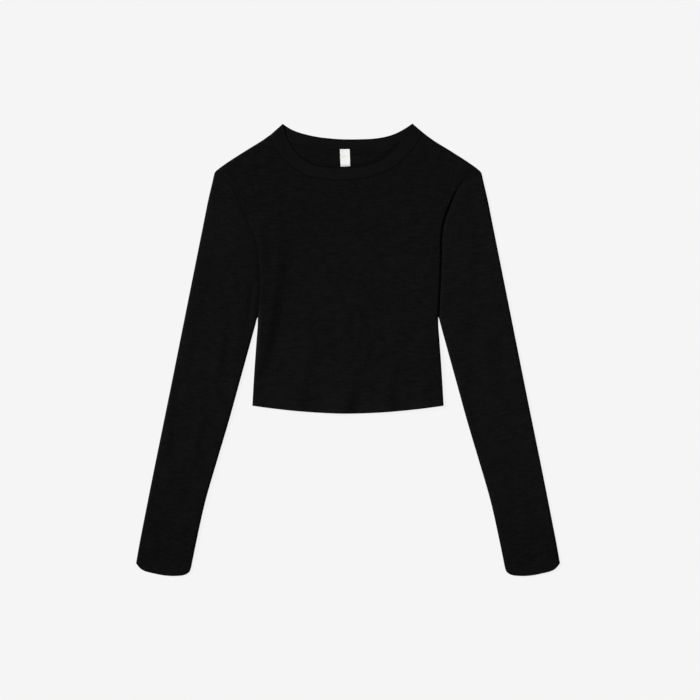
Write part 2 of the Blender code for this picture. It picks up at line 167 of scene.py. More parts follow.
def foldGrid(layer, inset):
    # plan points of a face that lies inset inside the folds, and the sine of its turn at each column:
    # 1 where it lies flat, 0 at the fold's tip, and below 0 on the lip that turns back into a seam
    angles = np.radians(layer["turn"])
    edges = []
    widths = np.broadcast_to(layer["foldWidth"], (2, len(inset)))[..., None]
    for side, width in zip(("left", "right"), widths):
        roll = layer[side + "Roll"][:, None]
        start = (inset * roll[:, 0])[:, None]
        rolled = start + (width - start) * (1.0 - np.cos(angles))
        laid = width * np.linspace(0.0, 1.0, len(angles))
        edges.append(stepsIn(layer, side, roll * rolled + (1.0 - roll) * laid))
    nearLeft, nearRight = edges[0], 1.0 - edges[1][:, ::-1]
    middle = np.linspace(0.0, 1.0, layer["columns"] + 2)[1:-1]
    between = nearLeft[:, -1:] + (nearRight[:, :1] - nearLeft[:, -1:]) * middle
    fraction = np.hstack((nearLeft, between, nearRight))
    sines = np.sin(angles)
    clearLeft = 1.0 - layer["leftRoll"][:, None] * (1.0 - sines)
    clearRight = 1.0 - layer["rightRoll"][:, None] * (1.0 - sines[::-1])
    return spread(layer, fraction), np.hstack((clearLeft, np.ones(between.shape), clearRight))


def pinch(outer, inner, thin):
    # draws a wall's two faces towards the surface half way between them: 1 keeps them, 0 closes them
    middle = (outer + inner) / 2
    half = (outer - inner) / 2 * np.reshape(thin, (len(outer), -1, 1))
    return middle + half, middle - half


def roundedStops(thickness):
    # distances from a cloth's edge, and how far its faces stand apart there: a half ellipse
    angles = np.radians((14, 32, 52, 72, 90))
    return thickness / 2 * (1.0 - np.cos(angles)), np.sin(angles)


def clothPlaces(face, grain):
    # cloth coordinates of a face in millimetres. With a grain, in degrees from +Y: the place along it, and
    # across it the length over the folds. Without one: the length along each row, and the length up the rows.
    middle = face.shape[1] // 2
    if grain is None:
        steps = np.linalg.norm(np.diff(face, axis=1), axis=2)
        start, up = 0.0, np.broadcast_to(arcLengths(face[:, middle])[:, None], face.shape[:2])
    else:
        turn = np.radians(grain)
        across = face[..., 0] * np.cos(turn) + face[..., 1] * np.sin(turn)
        up = face[..., 1] * np.cos(turn) - face[..., 0] * np.sin(turn)
        steps = np.hypot(np.diff(across, axis=1), np.diff(face[..., 2], axis=1))
        steps = steps * np.sign(across[0, middle] - across[0, 0])
        start = across[:, middle : middle + 1]
    run = np.hstack((np.zeros((len(face), 1)), np.cumsum(steps, axis=1)))
    return np.dstack((start + run - run[:, middle : middle + 1], up))


# meshes

def makePiece(name, points, quads, finish, clothMap, fade=None, triangles=()):
    # an object from points in millimetres and their faces, with a cloth place and a painted shade at each
    # point
    mesh = bpy.data.meshes.new(name)
    mesh.from_pydata((points * mm).tolist(), [], quads.tolist() + [list(t) for t in triangles])
    shape = bmesh.new()
    shape.from_mesh(mesh)
    bmesh.ops.recalc_face_normals(shape, faces=shape.faces)
    shape.to_mesh(mesh)
    shape.free()
    corners = np.empty(len(mesh.loops), np.int32)
    mesh.loops.foreach_get("vertex_index", corners)
    mesh.uv_layers.new(name="cloth").uv.foreach_set("vector", clothMap[corners].astype(np.float32).ravel())
    if fade is not None:
        shades = mesh.attributes.new("fade", "FLOAT", "POINT").data
        shades.foreach_set("value", fade.astype(np.float32).ravel())
    mesh.materials.append(finish)
    mesh.shade_smooth()
    piece = bpy.data.objects.new(name, mesh)
    bpy.context.scene.collection.objects.link(piece)
    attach(piece, "root")
    return piece


def makeWall(name, outer, inner, finish, fade, closedFrom=None, grain=None):
    # one closed wall between two grids of points; from row closedFrom on it is a tube
    rows, columns = outer.shape[:2]
    closedFrom = rows if closedFrom is None else closedFrom
    top = np.arange(rows * columns).reshape(rows, columns)
    under = top + rows * columns

    def panes(a, b, c, d):
        return np.stack((a, b, c, d), axis=-1).reshape(-1, 4)

    quads = []
    for grid in (top, under):
        quads.append(panes(grid[:-1, :-1], grid[:-1, 1:], grid[1:, 1:], grid[1:, :-1]))
        loop = grid[closedFrom:]
        quads.append(panes(loop[:-1, -1], loop[:-1, 0], loop[1:, 0], loop[1:, -1]))
    for column in (0, -1):
        a, b = top[: closedFrom + 1, column], under[: closedFrom + 1, column]
        quads.append(panes(a[:-1], a[1:], b[1:], b[:-1]))
    for row in (0, -1):
        a, b = top[row], under[row]
        quads.append(panes(a[:-1], a[1:], b[1:], b[:-1]))
    for row in sorted({0, rows - 1, closedFrom} & set(range(closedFrom, rows))):
        quads.append(panes(top[row, -1:], top[row, :1], under[row, :1], under[row, -1:]))
    points = np.vstack((outer.reshape(-1, 3), inner.reshape(-1, 3)))
    clothMap = np.vstack([clothPlaces(face, grain).reshape(-1, 2) for face in (outer, inner)])
    return makePiece(name, points, np.vstack(quads), finish, clothMap, np.tile(fade.ravel(), 2))


def gridNormals(face):
    # unit normals of a grid of points, from the cross product of its two directions
    normals = np.cross(np.gradient(face, axis=1), np.gradient(face, axis=0))
    return normals / np.maximum(np.linalg.norm(normals, axis=-1, keepdims=True), 1e-9)


def depths(face):
    # distance of each point of a face from its first row, measured up its column
    steps = np.linalg.norm(np.diff(face, axis=0), axis=2)
    return np.vstack((np.zeros((1, face.shape[1])), np.cumsum(steps, axis=0)))


def lineOnFace(face, outward, lengths, depth):
    # the line on a face where its points' lengths from the hem reach a depth, with its normals
    row = np.clip((lengths < depth).sum(axis=0) - 1, 0, len(face) - 2)
    column = np.arange(face.shape[1])
    span = lengths[row + 1, column] - lengths[row, column]
    part = ((depth - lengths[row, column]) / span)[:, None]
    normals = gridNormals(face) * outward
    return tuple(grid[row, column] * (1 - part) + grid[row + 1, column] * part for grid in (face, normals))


def makeStitches(name, lines, spec, finish, closed=False):
    # lozenges of thread laid end to end along lines of points; each is an ellipsoid of rings round its length
    rings, around = 4, 6
    tilt = np.radians(np.linspace(-60, 60, rings))[:, None]
    turn = np.arange(around) * 2 * np.pi / around
    lengthwise = np.broadcast_to(np.sin(tilt), (rings, around))
    ring = np.stack((lengthwise, np.cos(tilt) * np.cos(turn), np.cos(tilt) * np.sin(turn)), axis=-1)
    unit = np.vstack((ring.reshape(-1, 3), ((-1.0, 0.0, 0.0), (1.0, 0.0, 0.0))))
    index = np.arange(rings * around).reshape(rings, around)
    ahead = np.roll(index, -1, axis=1)
    quads = np.stack((index[:-1], ahead[:-1], ahead[1:], index[1:]), axis=-1).reshape(-1, 4)
    ends = ((0, rings * around), (-1, rings * around + 1))
    caps = np.vstack([np.stack((index[i], ahead[i], np.full(around, tip)), axis=-1) for i, tip in ends])
    allPoints = []
    for path, normals in lines:
        if closed:
            path, normals = np.vstack((path, path[:1])), np.vstack((normals, normals[:1]))
        lengths = arcLengths(path)
        count = int(lengths[-1] / spec["pitch"])
        middle = (np.arange(count) + 0.5) / count * lengths[-1]
        half = spec["length"] / 2

        def at(values, where):
            return np.stack([np.interp(where, lengths, column) for column in values.T], axis=-1)

        front, back = at(path, middle + half), at(path, middle - half)
        forward = front - back
        forward /= np.linalg.norm(forward, axis=1, keepdims=True)
        up = at(normals, middle)
        side = np.cross(up, forward)
        side /= np.linalg.norm(side, axis=1, keepdims=True)
        up = np.cross(forward, side)
        centre = (front + back) / 2 + up * spec["sit"]
        allPoints.append(
            centre[:, None]
            + unit[:, :1] * half * forward[:, None]
            + unit[:, 1:2] * spec["width"] / 2 * side[:, None]
            + unit[:, 2:] * spec["height"] / 2 * up[:, None]
        )
    points = np.concatenate(allPoints)
    first = (np.arange(len(points)) * len(unit))[:, None, None]
    clothMap = np.tile(unit[:, :2] * (spec["length"] / 2, 1.0), (len(points), 1))
    return makePiece(
        name, points.reshape(-1, 3), (quads + first).reshape(-1, 4), finish, clothMap,
        triangles=(caps + first).reshape(-1, 3),
    )


# materials

class Wire:
    # a node's output socket: arithmetic on wires adds Math nodes to their material
    def __init__(self, finish, socket):
        self.finish = finish
        self.socket = socket

    def __add__(self, other):
        return self.finish.math("ADD", self, other)

    __radd__ = __add__

    def __sub__(self, other):
        return self.finish.math("SUBTRACT", self, other)

    def __rsub__(self, other):
        return self.finish.math("SUBTRACT", other, self)

    def __mul__(self, other):
        return self.finish.math("MULTIPLY", self, other)

    __rmul__ = __mul__

    def __truediv__(self, other):
        return self.finish.math("DIVIDE", self, other)

    def __rtruediv__(self, other):
        return self.finish.math("DIVIDE", other, self)


class Finish:
    # one material with a Principled shader; node() adds any node and returns a wire from it
    def __init__(self, name, **constants):
        self.material = bpy.data.materials.new(name)
        self.material.use_nodes = True
        self.tree = self.material.node_tree
        self.shader = self.tree.nodes["Principled BSDF"]
        for socket, value in constants.items():
            self.shader.inputs[socket.replace("_", " ")].default_value = value

    def node(self, kind, settings, sockets, output=0):
        # settings are set before the sockets, whose values may be wires
        node = self.tree.nodes.new(kind)
        for setting, value in settings.items():
            setattr(node, setting, value)
        for socket, value in sockets.items():
            self.put(node.inputs[socket], value)
        return Wire(self, node.outputs[output])

    def put(self, socket, value):
        # links a wire to a socket, or sets the socket to a value
        if isinstance(value, Wire):
            self.tree.links.new(value.socket, socket)
        else:
            socket.default_value = value

    def math(self, operation, *values):
        # one Math node on wires or numbers
        return self.node("ShaderNodeMath", {"operation": operation}, dict(enumerate(values)))

    def wave(self, value):
        # cosine, brought to 0 .. 1
        return self.math("COSINE", value * (2 * np.pi)) * 0.5 + 0.5

    def clothPlace(self):
        # millimetres across and along the cloth
        place = self.node("ShaderNodeUVMap", {"uv_map": "cloth"}, {})
        return tuple(self.node("ShaderNodeSeparateXYZ", {}, {0: place}, output) for output in (0, 1))

    def noise(self, across, up, size, detail, seed):
        # uneven patches of about that size across and along the cloth, from 0 to 1
        place = self.node("ShaderNodeCombineXYZ", {}, {0: across / size[0], 1: up / size[1], 2: seed})
        sockets = {"Vector": place, "Scale": 1.0, "Detail": detail, "Roughness": 0.55}
        return self.node("ShaderNodeTexNoise", {}, sockets)

    def tint(self, colour, shade):
        # a colour times a wire of brightness
        return self.node("ShaderNodeVectorMath", {"operation": "SCALE"}, {"Vector": colour, "Scale": shade})

    def paintedShadeAndWear(self):
        # the painted shade stored on the mesh, with a little wear along the folds
        return self.node("ShaderNodeAttribute", {"attribute_name": "fade"}, {}, "Fac")

    def complete(self, colour, shade, roughness, height):
        # the finished material: a colour times its shade, a roughness, and a relief in millimetres
        self.put(self.shader.inputs["Base Color"], self.tint(colour, shade))
        self.put(self.shader.inputs["Roughness"], roughness)
        relief = self.node("ShaderNodeBump", {}, {"Strength": 1.0, "Distance": mm, "Height": height})
        self.put(self.shader.inputs["Normal"], relief)
        return self.material


jersey = {
    "colour": (0.0035, 0.0035, 0.0036),
    "wale": 0.9,  # width of one column of stitches
    "course": 0.75,  # height of one row of stitches
    "slant": 0.45,  # how far a V's arms rise, in rows
    "courseDepth": 0.45,
    "stitchShade": 0.3,
    "stitchRelief": 0.10,
    # faint bands of slightly thicker yarn, two along the rows and one up the ribs: length, height, shade
    "streaks": ((13.0, 2.3, 1.4), (6.0, 1.3, 1.1), (2.6, 11.0, 0.8)),
    "streakRelief": 0.12,
    "cloudSize": (38.0, 24.0),
    "cloudShade": 0.3,
    "fuzzSize": (1.1, 0.9),
    "fuzzShade": 0.5,
    "fuzzRelief": 0.05,
    "roughness": 0.82,
    "roughnessSpread": 0.15,
}
shine = {"Sheen_Weight": 0.04, "Sheen_Roughness": 0.45, "Specular_IOR_Level": 0.04}


def jerseyRoughness(fuzz):
    # the same for jersey and rib, uneven with the fuzz
    return jersey["roughness"] + (fuzz - 0.5) * jersey["roughnessSpread"]


def jerseyFinish(name, seed):
    # rows of V stitches, streaks of thicker yarn along them, a soft cloudiness, and the painted shade stored
    # on the mesh
    finish = Finish(name, **shine)
    across, up = finish.clothPlace()
    wale = finish.wave(across / jersey["wale"])
    course = finish.wave(up / jersey["course"] + wale * jersey["slant"])
    stitch = wale * (course * jersey["courseDepth"] + (1.0 - jersey["courseDepth"]))
    cloud = finish.noise(across, up, jersey["cloudSize"], 2.0, seed + 7.0)
    fuzz = finish.noise(across, up, jersey["fuzzSize"], 1.0, seed + 3.0)
    fade = finish.paintedShadeAndWear()
    shade = (cloud - 0.5) * jersey["cloudShade"] + (stitch - 0.5) * jersey["stitchShade"]
    shade = shade + (fuzz - 0.5) * jersey["fuzzShade"] + fade + 1.0
    streak = 0.0
    for length, height, strength in jersey["streaks"]:
        seed = seed + 1.7
        band = finish.noise(across, up, (length, height), 2.0, seed) - 0.5
        streak = streak + band
        shade = shade + band * strength
    relief = stitch * jersey["stitchRelief"] + streak * jersey["streakRelief"] + fuzz * jersey["fuzzRelief"]
    return finish.complete(jersey["colour"], shade, jerseyRoughness(fuzz), relief)


ribKnit = {
    "colour": (0.0034, 0.0034, 0.0035),
    "course": 0.8,
    "fuzzSize": (0.5, 0.5),
    "cloudSize": (20.0, 9.0),
    "ribShade": 0.5,
    "courseShade": 0.1,
    "fuzzShade": 0.4,
    "cloudShade": 0.7,
    "courseRelief": 0.03,
    "fuzzRelief": 0.05,
}


def ribFinish(name):
    # fine stitches down each rib of the band, and the painted shade stored on the mesh; the ribs themselves
    # are in its mesh
    finish = Finish(name, **shine)
    across, up = finish.clothPlace()
    course = finish.wave(up / ribKnit["course"])
    rib = finish.wave(across / neckband["ribPitch"])
    fuzz = finish.noise(across, up, ribKnit["fuzzSize"], 1.0, 5.0)
    cloud = finish.noise(across, up, ribKnit["cloudSize"], 2.0, 2.0)
    fade = finish.paintedShadeAndWear()
    shade = (rib - 0.5) * ribKnit["ribShade"] + (course - 0.5) * ribKnit["courseShade"]
    shade = shade + (fuzz - 0.5) * ribKnit["fuzzShade"] + (cloud - 0.5) * ribKnit["cloudShade"] + fade + 1.0
    relief = course * ribKnit["courseRelief"] + fuzz * ribKnit["fuzzRelief"]
    return finish.complete(ribKnit["colour"], shade, jerseyRoughness(fuzz), relief)


twist = {"ply": 0.5, "slant": 0.4, "shade": 0.5, "relief": 0.04, "roughnessSpread": 0.1}
blackThread = {"colour": (0.0038, 0.0038, 0.004), "roughness": 0.6}
whiteThread = {"colour": (0.8, 0.8, 0.79), "roughness": 0.55}


def threadFinish(name, colour, roughness):
    # twisted sewing thread: slanting plies along its length
    finish = Finish(name, Specular_IOR_Level=0.06)
    across, up = finish.clothPlace()
    ply = finish.wave(across / twist["ply"] + up * twist["slant"])
    shade = ply * twist["shade"] + (1.0 - twist["shade"] / 2)
    roughness = roughness + (ply - 0.5) * twist["roughnessSpread"]
    return finish.complete(colour, shade, roughness, ply * twist["relief"])


weave = {
    "colour": (0.92, 0.92, 0.91),
    "warp": 0.32,  # width of one yarn
    "weft": 0.42,
    "fleckSize": (0.8, 2.5),
    "shade": 0.05,
    "roughness": 0.62,
    "roughnessSpread": 0.12,
    "warpRelief": 0.02,
    "weftRelief": 0.035,
}


def tapeFinish(name):
    # woven label tape: fine warp and weft, with flecks
    finish = Finish(name, Sheen_Weight=0.1, Specular_IOR_Level=0.3)
    across, up = finish.clothPlace()
    warp = finish.wave(across / weave["warp"])
    weft = finish.wave(up / weave["weft"] + finish.wave(across / (2 * weave["warp"])) * 0.5)
    fleck = finish.noise(across, up, weave["fleckSize"], 2.0, 1.0)
    shade = (warp * weft - 0.25) * weave["shade"] + (fleck - 0.5) * weave["shade"] + 1.0
    relief = warp * weave["warpRelief"] + weft * weave["weftRelief"]
    roughness = weave["roughness"] + (weft - 0.5) * weave["roughnessSpread"]
    return finish.complete(weave["colour"], shade, roughness, relief)


# the cloth and its seams

cloth = {
    "wall": 0.9,
    "hemWall": 1.45,  # turned up double
    "hemDepth": 15.0,
    "hemEase": 1.6,  # over which it thins out
    "swellEase": 2.0,
    "fadeEase": 4.0,
    "needleRows": (10.0, 14.5),  # twin-needle stitching, from the hem's edge
    "needleDent": 0.2,
    "needleDentUnder": 0.42,
    "needleDentReach": 1.1,
    "fineStep": 0.8,  # between rows of the mesh next to a hem
    "fineReach": 20.0,
    "hemSwell": 0.14,
    "hemPaintedLight": 0.08,
    "foldWidth": 4.5,
    "foldFade": 0.06,
    "seamLevel": 2.15,  # side and shoulder seams, half way up the edge
    "lip": -30.0,  # degrees past the fold's tip at which the cloth turns into the seam
    "seamReach": 1.4,  # how far the dip or the shade of an armhole seam reaches
    "hollowStart": 16.0,  # from a hem to the first hollows of the underside
    "hollowEase": 30.0,  # over which they deepen
}
seamTurn = np.array((cloth["lip"], -18, -6, 6, 18, 30, 42, 54, 66, 78, 90), float)
foldTurn = np.array((5, 15, 26, 38, 50, 62, 76, 90), float)


def lippedFold(level):
    # fold height for which a lip that turns past the tip ends at the seam: a fold's face lies at
    # fold + (level - fold) * sine of its turn
    sine = np.sin(np.radians(cloth["lip"]))
    return (cloth["seamLevel"] - level * sine) / (1.0 - sine)


def hemWall(depth):
    # thickness at a distance from the hem's edge: double up to the hem's depth
    double = 1.0 - smoothStep((depth - cloth["hemDepth"]) / cloth["hemEase"])
    return cloth["wall"] + (cloth["hemWall"] - cloth["wall"]) * double


def hemSwell(depth):
    # how far a hem stands out of the cloth
    return cloth["hemSwell"] * (1.0 - smoothStep((depth - cloth["hemDepth"]) / cloth["swellEase"]))


def needleDents(depth):
    # a shallow groove under each row of stitches, the sum of their bells
    return sum(bell((depth - row) / cloth["needleDentReach"]) for row in cloth["needleRows"])


def hemPaintedLight(depth):
    # painted light: hems are painted a little paler, up to the hem's depth, for the light their doubled cloth
    # catches
    return cloth["hemPaintedLight"] * (1.0 - smoothStep((depth - cloth["hemDepth"]) / cloth["fadeEase"] + 0.5))


def hemRows(length, step):
    # shares of a length, close together at its hemmed start, then a step apart
    fine, fineReach = cloth["fineStep"], cloth["fineReach"]
    edge = roundedStops(cloth["hemWall"])[0]
    close = np.arange(edge[-1] + fine, fineReach, fine)
    coarse = np.linspace(fineReach, length, int((length - fineReach) / step) + 1)
    return np.concatenate((edge, close, coarse)) / length


# body

body = {
    "hemMiddle": -92.4,
    "hemPower": 1.8,
    "hemPoints": 121,
    "sideSeam": ((138.8, -80.9), (136.7, -44.2), (134.8, -15.2), (132.7, 13.8), (131.0, 38.0), (130.9, 48.4)),
    "armholeRight": (
        (130.9, 48.4), (131.3, 62.0), (132.3, 84.0), (133.5, 112.0), (134.2, 140.0), (134.9, 166.0),
        (137.6, 184.0), (142.3, 199.0), (148.4, 213.5), (155.0, 227.6), (163.2, 241.0), (173.2, 252.6),
        (187.5, 263.2),
    ),
    "armholeLeft": (
        (130.9, 48.4), (129.4, 60.0), (127.2, 76.0), (126.2, 97.0), (127.8, 125.0), (130.6, 150.0),
        (134.8, 165.0), (141.2, 182.0), (149.0, 198.5), (157.0, 212.3), (165.6, 229.5), (175.5, 248.0),
        (187.5, 263.2),
    ),
    "shoulder": ((187.5, 263.2), (175.1, 271.9), (148.0, 289.3), (120.3, 306.7)),
    "neckRight": (109.0, 315.3),
    "neckLeft": (112.3, 312.5),
    "rowStep": 3.0,
    "rowsAtNeck": (1.3, 0.3, 0.0),  # distances of the last rows from the neck seam
    "frontColumns": 118,
    "backColumns": 88,
    "foldFadeRows": 6.0,  # rows over which the side folds turn into the armhole's
    "lipFadeRows": 4.0,  # rows over which the back's folds flatten out at the armholes
}
hemCorner = body["sideSeam"][0]


def bodyEdge(armhole, neckPoint):
    # from hem corner to neck point, one point for each row
    stretches = (body["sideSeam"], armhole, (*body["shoulder"], neckPoint))
    side, hole, shoulder = (smoothCurve(table) for table in stretches)
    holeSteps, shoulderSteps = (
        int(round(arcLengths(smoothCurve(body[name]))[-1] / body["rowStep"]))
        for name in ("armholeRight", "shoulder")
    )
    atSide = hemRows(arcLengths(side)[-1], body["rowStep"])
    atHole = np.linspace(0, 1, holeSteps + 1)[1:]
    atNeck = 1.0 - np.array(body["rowsAtNeck"]) / arcLengths(shoulder)[-1]
    atShoulder = np.concatenate((np.linspace(0, 1, shoulderSteps + 1)[1:-1], atNeck))
    edge = np.vstack((along(side, atSide), along(hole, atHole), along(shoulder, atShoulder)))
    return edge, len(atSide), holeSteps


bodyRight, sideRows, armholeRows = bodyEdge(body["armholeRight"], body["neckRight"])
bodyLeft = bodyEdge(body["armholeLeft"], body["neckLeft"])[0] * (-1.0, 1.0)


def hemHeight(across):
    # lowest in the middle, rising as a power of the share of the way to the corner
    share = np.abs(across / hemCorner[0])
    return body["hemMiddle"] + (hemCorner[1] - body["hemMiddle"]) * share ** body["hemPower"]


hemAcross = np.linspace(-hemCorner[0], hemCorner[0], body["hemPoints"])
hemLine = np.stack((hemAcross, hemHeight(hemAcross)), axis=-1)
sideLines = [np.vstack((edge[:-1:3], edge[-1:])) for edge in (bodyLeft, bodyRight)]

neckband = {
    "frontSeam": (
        (-112.3, 312.5), (-107.6, 299.5), (-99.6, 286.0), (-88.8, 273.5), (-75.5, 262.3), (-55.0, 252.0),
        (-31.0, 247.2), (0.0, 246.6), (20.0, 248.4), (40.0, 253.2), (60.8, 261.5), (77.2, 273.2),
        (91.7, 288.3), (101.8, 300.9), (109.0, 315.3),
    ),
    "frontEdge": (
        (-94.6, 328.2), (-89.6, 309.0), (-82.5, 296.4), (-68.6, 281.1), (-53.3, 272.4), (-35.3, 267.8),
        (-12.0, 266.2), (10.5, 267.6), (28.5, 271.0), (45.0, 277.2), (61.9, 287.8), (68.4, 293.6),
        (75.0, 300.2), (83.2, 306.2), (89.6, 313.6), (93.4, 328.6),
    ),
    "backSeam": (
        (-112.3, 312.5), (-94.0, 304.7), (-70.0, 297.0), (-45.0, 292.6), (-20.0, 290.6), (0.0, 290.4),
        (20.0, 290.6), (45.0, 292.5), (70.0, 298.5), (92.0, 307.4), (109.0, 315.3),
    ),
    "backEdge": (
        (-94.6, 328.2), (-83.4, 320.9), (-72.0, 316.1), (-60.0, 312.7), (-45.0, 309.5), (-30.0, 307.6),
        (-15.0, 306.3), (3.5, 305.8), (18.0, 306.0), (32.0, 306.5), (44.0, 307.7), (56.0, 310.0),
        (67.4, 313.6), (79.0, 319.3), (93.4, 328.6),
    ),
    "wall": 1.5,
    "width": 19.0,
    "edgePoints": 161,
    "seamRows": (0.0, 0.25, 0.7, 1.3, 2.1, 3.3),  # distances of the first rows from the seam
    "middleRows": (5.0, 17.2, 9),  # first, last and number of the even ones
    "ribPitch": 2.5,
    "ribDepth": 0.2,
    "seamDip": 0.06,
    "seamDipReach": 1.3,
    "seamRidge": 0.14,
    "seamRidgePlace": (2.8, 1.5),  # distance from the seam, half width
    "seamPinch": 0.35,  # how much the cloth thins at the seam, and over how many millimetres
    # place across, top of the front half at its free edge
    "innerTop": ((-94, 3.3), (-60, 3.2), (-10, 2.8), (40, 2.8), (60, 3.1), (80, 3.9), (94, 4.2)),
    # place across, shade of the front half, of the back half, of the free edge and of the seam
    "frontPaintedShading": ((-94, 0.08), (-20, 0.02), (30, -0.04), (94, -0.09)),
    "backPaintedShading": ((-94, -0.12), (-60, -0.03), (30, -0.02), (94, -0.06)),
    "edgeShade": (
        (-95, 0.6), (-86, 0.35), (-78, -0.05), (-58, -1.1), (-30, -1.05), (0, -0.9), (50, -1.0), (68, -0.6),
        (94, -0.4),
    ),
    "seamShade": (
        (-112, -0.1), (-100, -0.3), (-86, -0.6), (-60, -0.65), (-40, -0.45), (75, -0.36), (98, -0.15),
        (110, 0.0),
    ),
    "edgeShadePlace": (0.7, 1.6),  # distance from the free edge, half width
    "seamShadeReach": 0.8,
    "ridgeShade": 0.1,
    "ridgeShadePlace": (2.4, 1.0),
    "backSeamShare": 0.3,
    "foldLevel": 2.3,
    "frontColumns": 640,
    "backColumns": 480,
}
frontSeam, frontEdge, backSeam, backEdge = (
    smoothCurve(neckband[name]) for name in ("frontSeam", "frontEdge", "backSeam", "backEdge")
)

front = {
    "level": 3.3,
    # distance in from the side, rise above the level
    "sideRise": ((0, 1.3), (18, 1.5), (50, 0.75), (90, 0.1), (130, 0.0), (200, 0.0)),
    "leftCrest": ((0, 0.75), (3, 0.85), (8, 0.7), (16, 0.3), (28, 0.0), (200, 0.0)),
    # height on the body, share of the rise on the right, and of the rise and the crest on the left
    "rightShare": (
        (-90, 1.0), (50, 1.0), (100, 0.95), (160, 1.2), (205, 1.3), (222, 0.9), (236, 0.4), (262, 0.25),
        (320, 0.2),
    ),
    "leftShare": ((-90, 0.2), (-40, 0.0), (215, 0.0), (240, 0.25), (275, 0.8), (320, 1.0)),
    "crestShare": ((-90, 0.5), (40, 0.6), (72, 0.7), (148, 0.7), (172, 0.3), (192, 0.0), (320, 0.0)),
    "leftArmholeFold": 1.5,
    "rightArmholeFold": 2.3,
    "neckRise": 0.35,
    "neckReach": 32.0,
    "neckDip": 0.05,
    "neckDipReach": 1.5,
    "neckShadeReach": 1.1,
    # place across, shade along the neck seam
    "neckShade": (
        (-112, -0.1), (-100, -0.3), (-86, -0.65), (-60, -0.7), (-40, -0.45), (75, -0.36), (98, -0.15),
        (110, 0.0),
    ),
    # height on the body, shade along the left armhole seam
    "armholeShade": (
        (-90, 0.0), (48, -0.15), (75, -0.42), (150, -0.42), (176, -0.3), (198, -0.42), (210, -0.62),
        (230, -0.62), (243, -0.3), (256, -0.1), (268, 0.0), (320, 0.0),
    ),
    # raised strip along the left side: height on the body, place, width and drop of its slope
    "stripPlace": (
        (-60, -145.0), (-40, -131.5), (-20, -119.0), (0, -115.0), (20, -110.5), (40, -106.5), (62, -102.5),
        (80, -99.5), (105, -97.0), (120, -95.5), (160, -90.0), (200, -86.0),
    ),
    "stripWidth": ((-40, 9), (-20, 13), (10, 18), (70, 20), (110, 20), (160, 24)),
    "stripDrop": (
        (-75, 0.3), (-45, 0.7), (-20, 1.4), (0, 2.3), (20, 3.0), (36, 3.1), (60, 2.6), (95, 2.3), (125, 1.7),
        (160, 0.9), (205, 0.0),
    ),
    # height on the body, share of the strip's lift kept at the side, and how far in the rest comes up
    "stripKept": ((-90, 0.0), (50, 0.0), (72, 0.75), (205, 0.75)),
    "stripStart": ((-90, 5), (50, 5), (72, 20), (205, 20)),
    "stripHollow": 0.4,  # part of the drop that lies below the level
    "hollowReach": 55.0,
    # share of the side swell that the strip takes over, from which drop, and how far in from the side
    "stripTakes": (0.5, 1.4, 12.0),
    "waveSideFade": 24.0,
    "wavePower": 1.5,
    # centre at the hem, width to the left and right, lift, lean to the right per millimetre up, reach up
    "hemWaves": (
        (-71.0, 28.0, 10.0, 1.8, 0.16, 66.0),
        (-10.0, 26.0, 13.0, 3.2, 0.31, 105.0),
        (58.0, 20.0, 11.5, 3.0, 0.03, 72.0),
        (110.0, 18.0, 14.0, 1.1, 0.0, 80.0),
    ),
    # width to the left and right, rise, points from below upwards
    "creases": (
        (5.0, 4.0, 0.6, (-133.0, -52.0), (-104.0, -45.0)),
        (5.0, 4.0, 0.5, (-126.0, -36.0), (-102.0, -26.0)),
        (7.0, 5.0, 0.45, (-62.0, -36.0), (-58.0, -4.0)),
        (9.0, 7.0, 0.3, (32.0, 66.0), (20.0, 88.0)),
        (9.0, 7.0, 0.3, (0.0, 34.0), (4.0, 56.0)),
        (12.0, 8.0, 0.3, (-56.0, 128.0), (-70.0, 190.0)),
        (10.0, 8.0, 0.3, (36.0, 130.0), (58.0, 142.0)),
        (9.0, 8.0, 0.25, (84.0, 176.0), (98.0, 214.0)),
        (9.0, 8.0, 0.3, (66.0, -30.0), (62.0, 4.0)),
        (6.0, 6.0, 0.35, (-127.0, 144.0), (-129.0, 172.0)),
    ),
    "unevenSeed": 3,
    "unevenSize": 22.0,
    "unevenLift": 0.11,
    "looseFromSide": 10.0,  # over which the creases rise, from the side and from the neck seam
    "looseFromNeck": 14.0,
    # height on the body, painted shade: a little paler low down and darker up to the shoulders, as the light
    # falls off
    "fade": ((-93, 0.04), (-40, 0.03), (60, 0.0), (170, -0.03), (250, -0.09), (310, -0.1)),
    # centre, half width, half height and amount of soft patches of painted shade, where the cloth is painted
    # a little darker or paler
    "paintedShadePatches": (
        (-92.0, 190.0, 42.0, 60.0, -0.055),
        (-84.0, 130.0, 26.0, 40.0, -0.05),
        (95.0, 0.0, 42.0, 85.0, -0.04),
        (-40.0, -45.0, 55.0, 40.0, 0.05),
        (-18.0, 112.0, 32.0, 40.0, 0.05),
        (-112.0, -70.0, 32.0, 26.0, 0.05),
        (-119.0, 112.0, 8.0, 55.0, -0.12),
    ),
}


def fromSides(plan):
    # distance to the nearer side of the body
    return np.minimum(distanceTo(sideLines[0], plan), distanceTo(sideLines[1], plan))


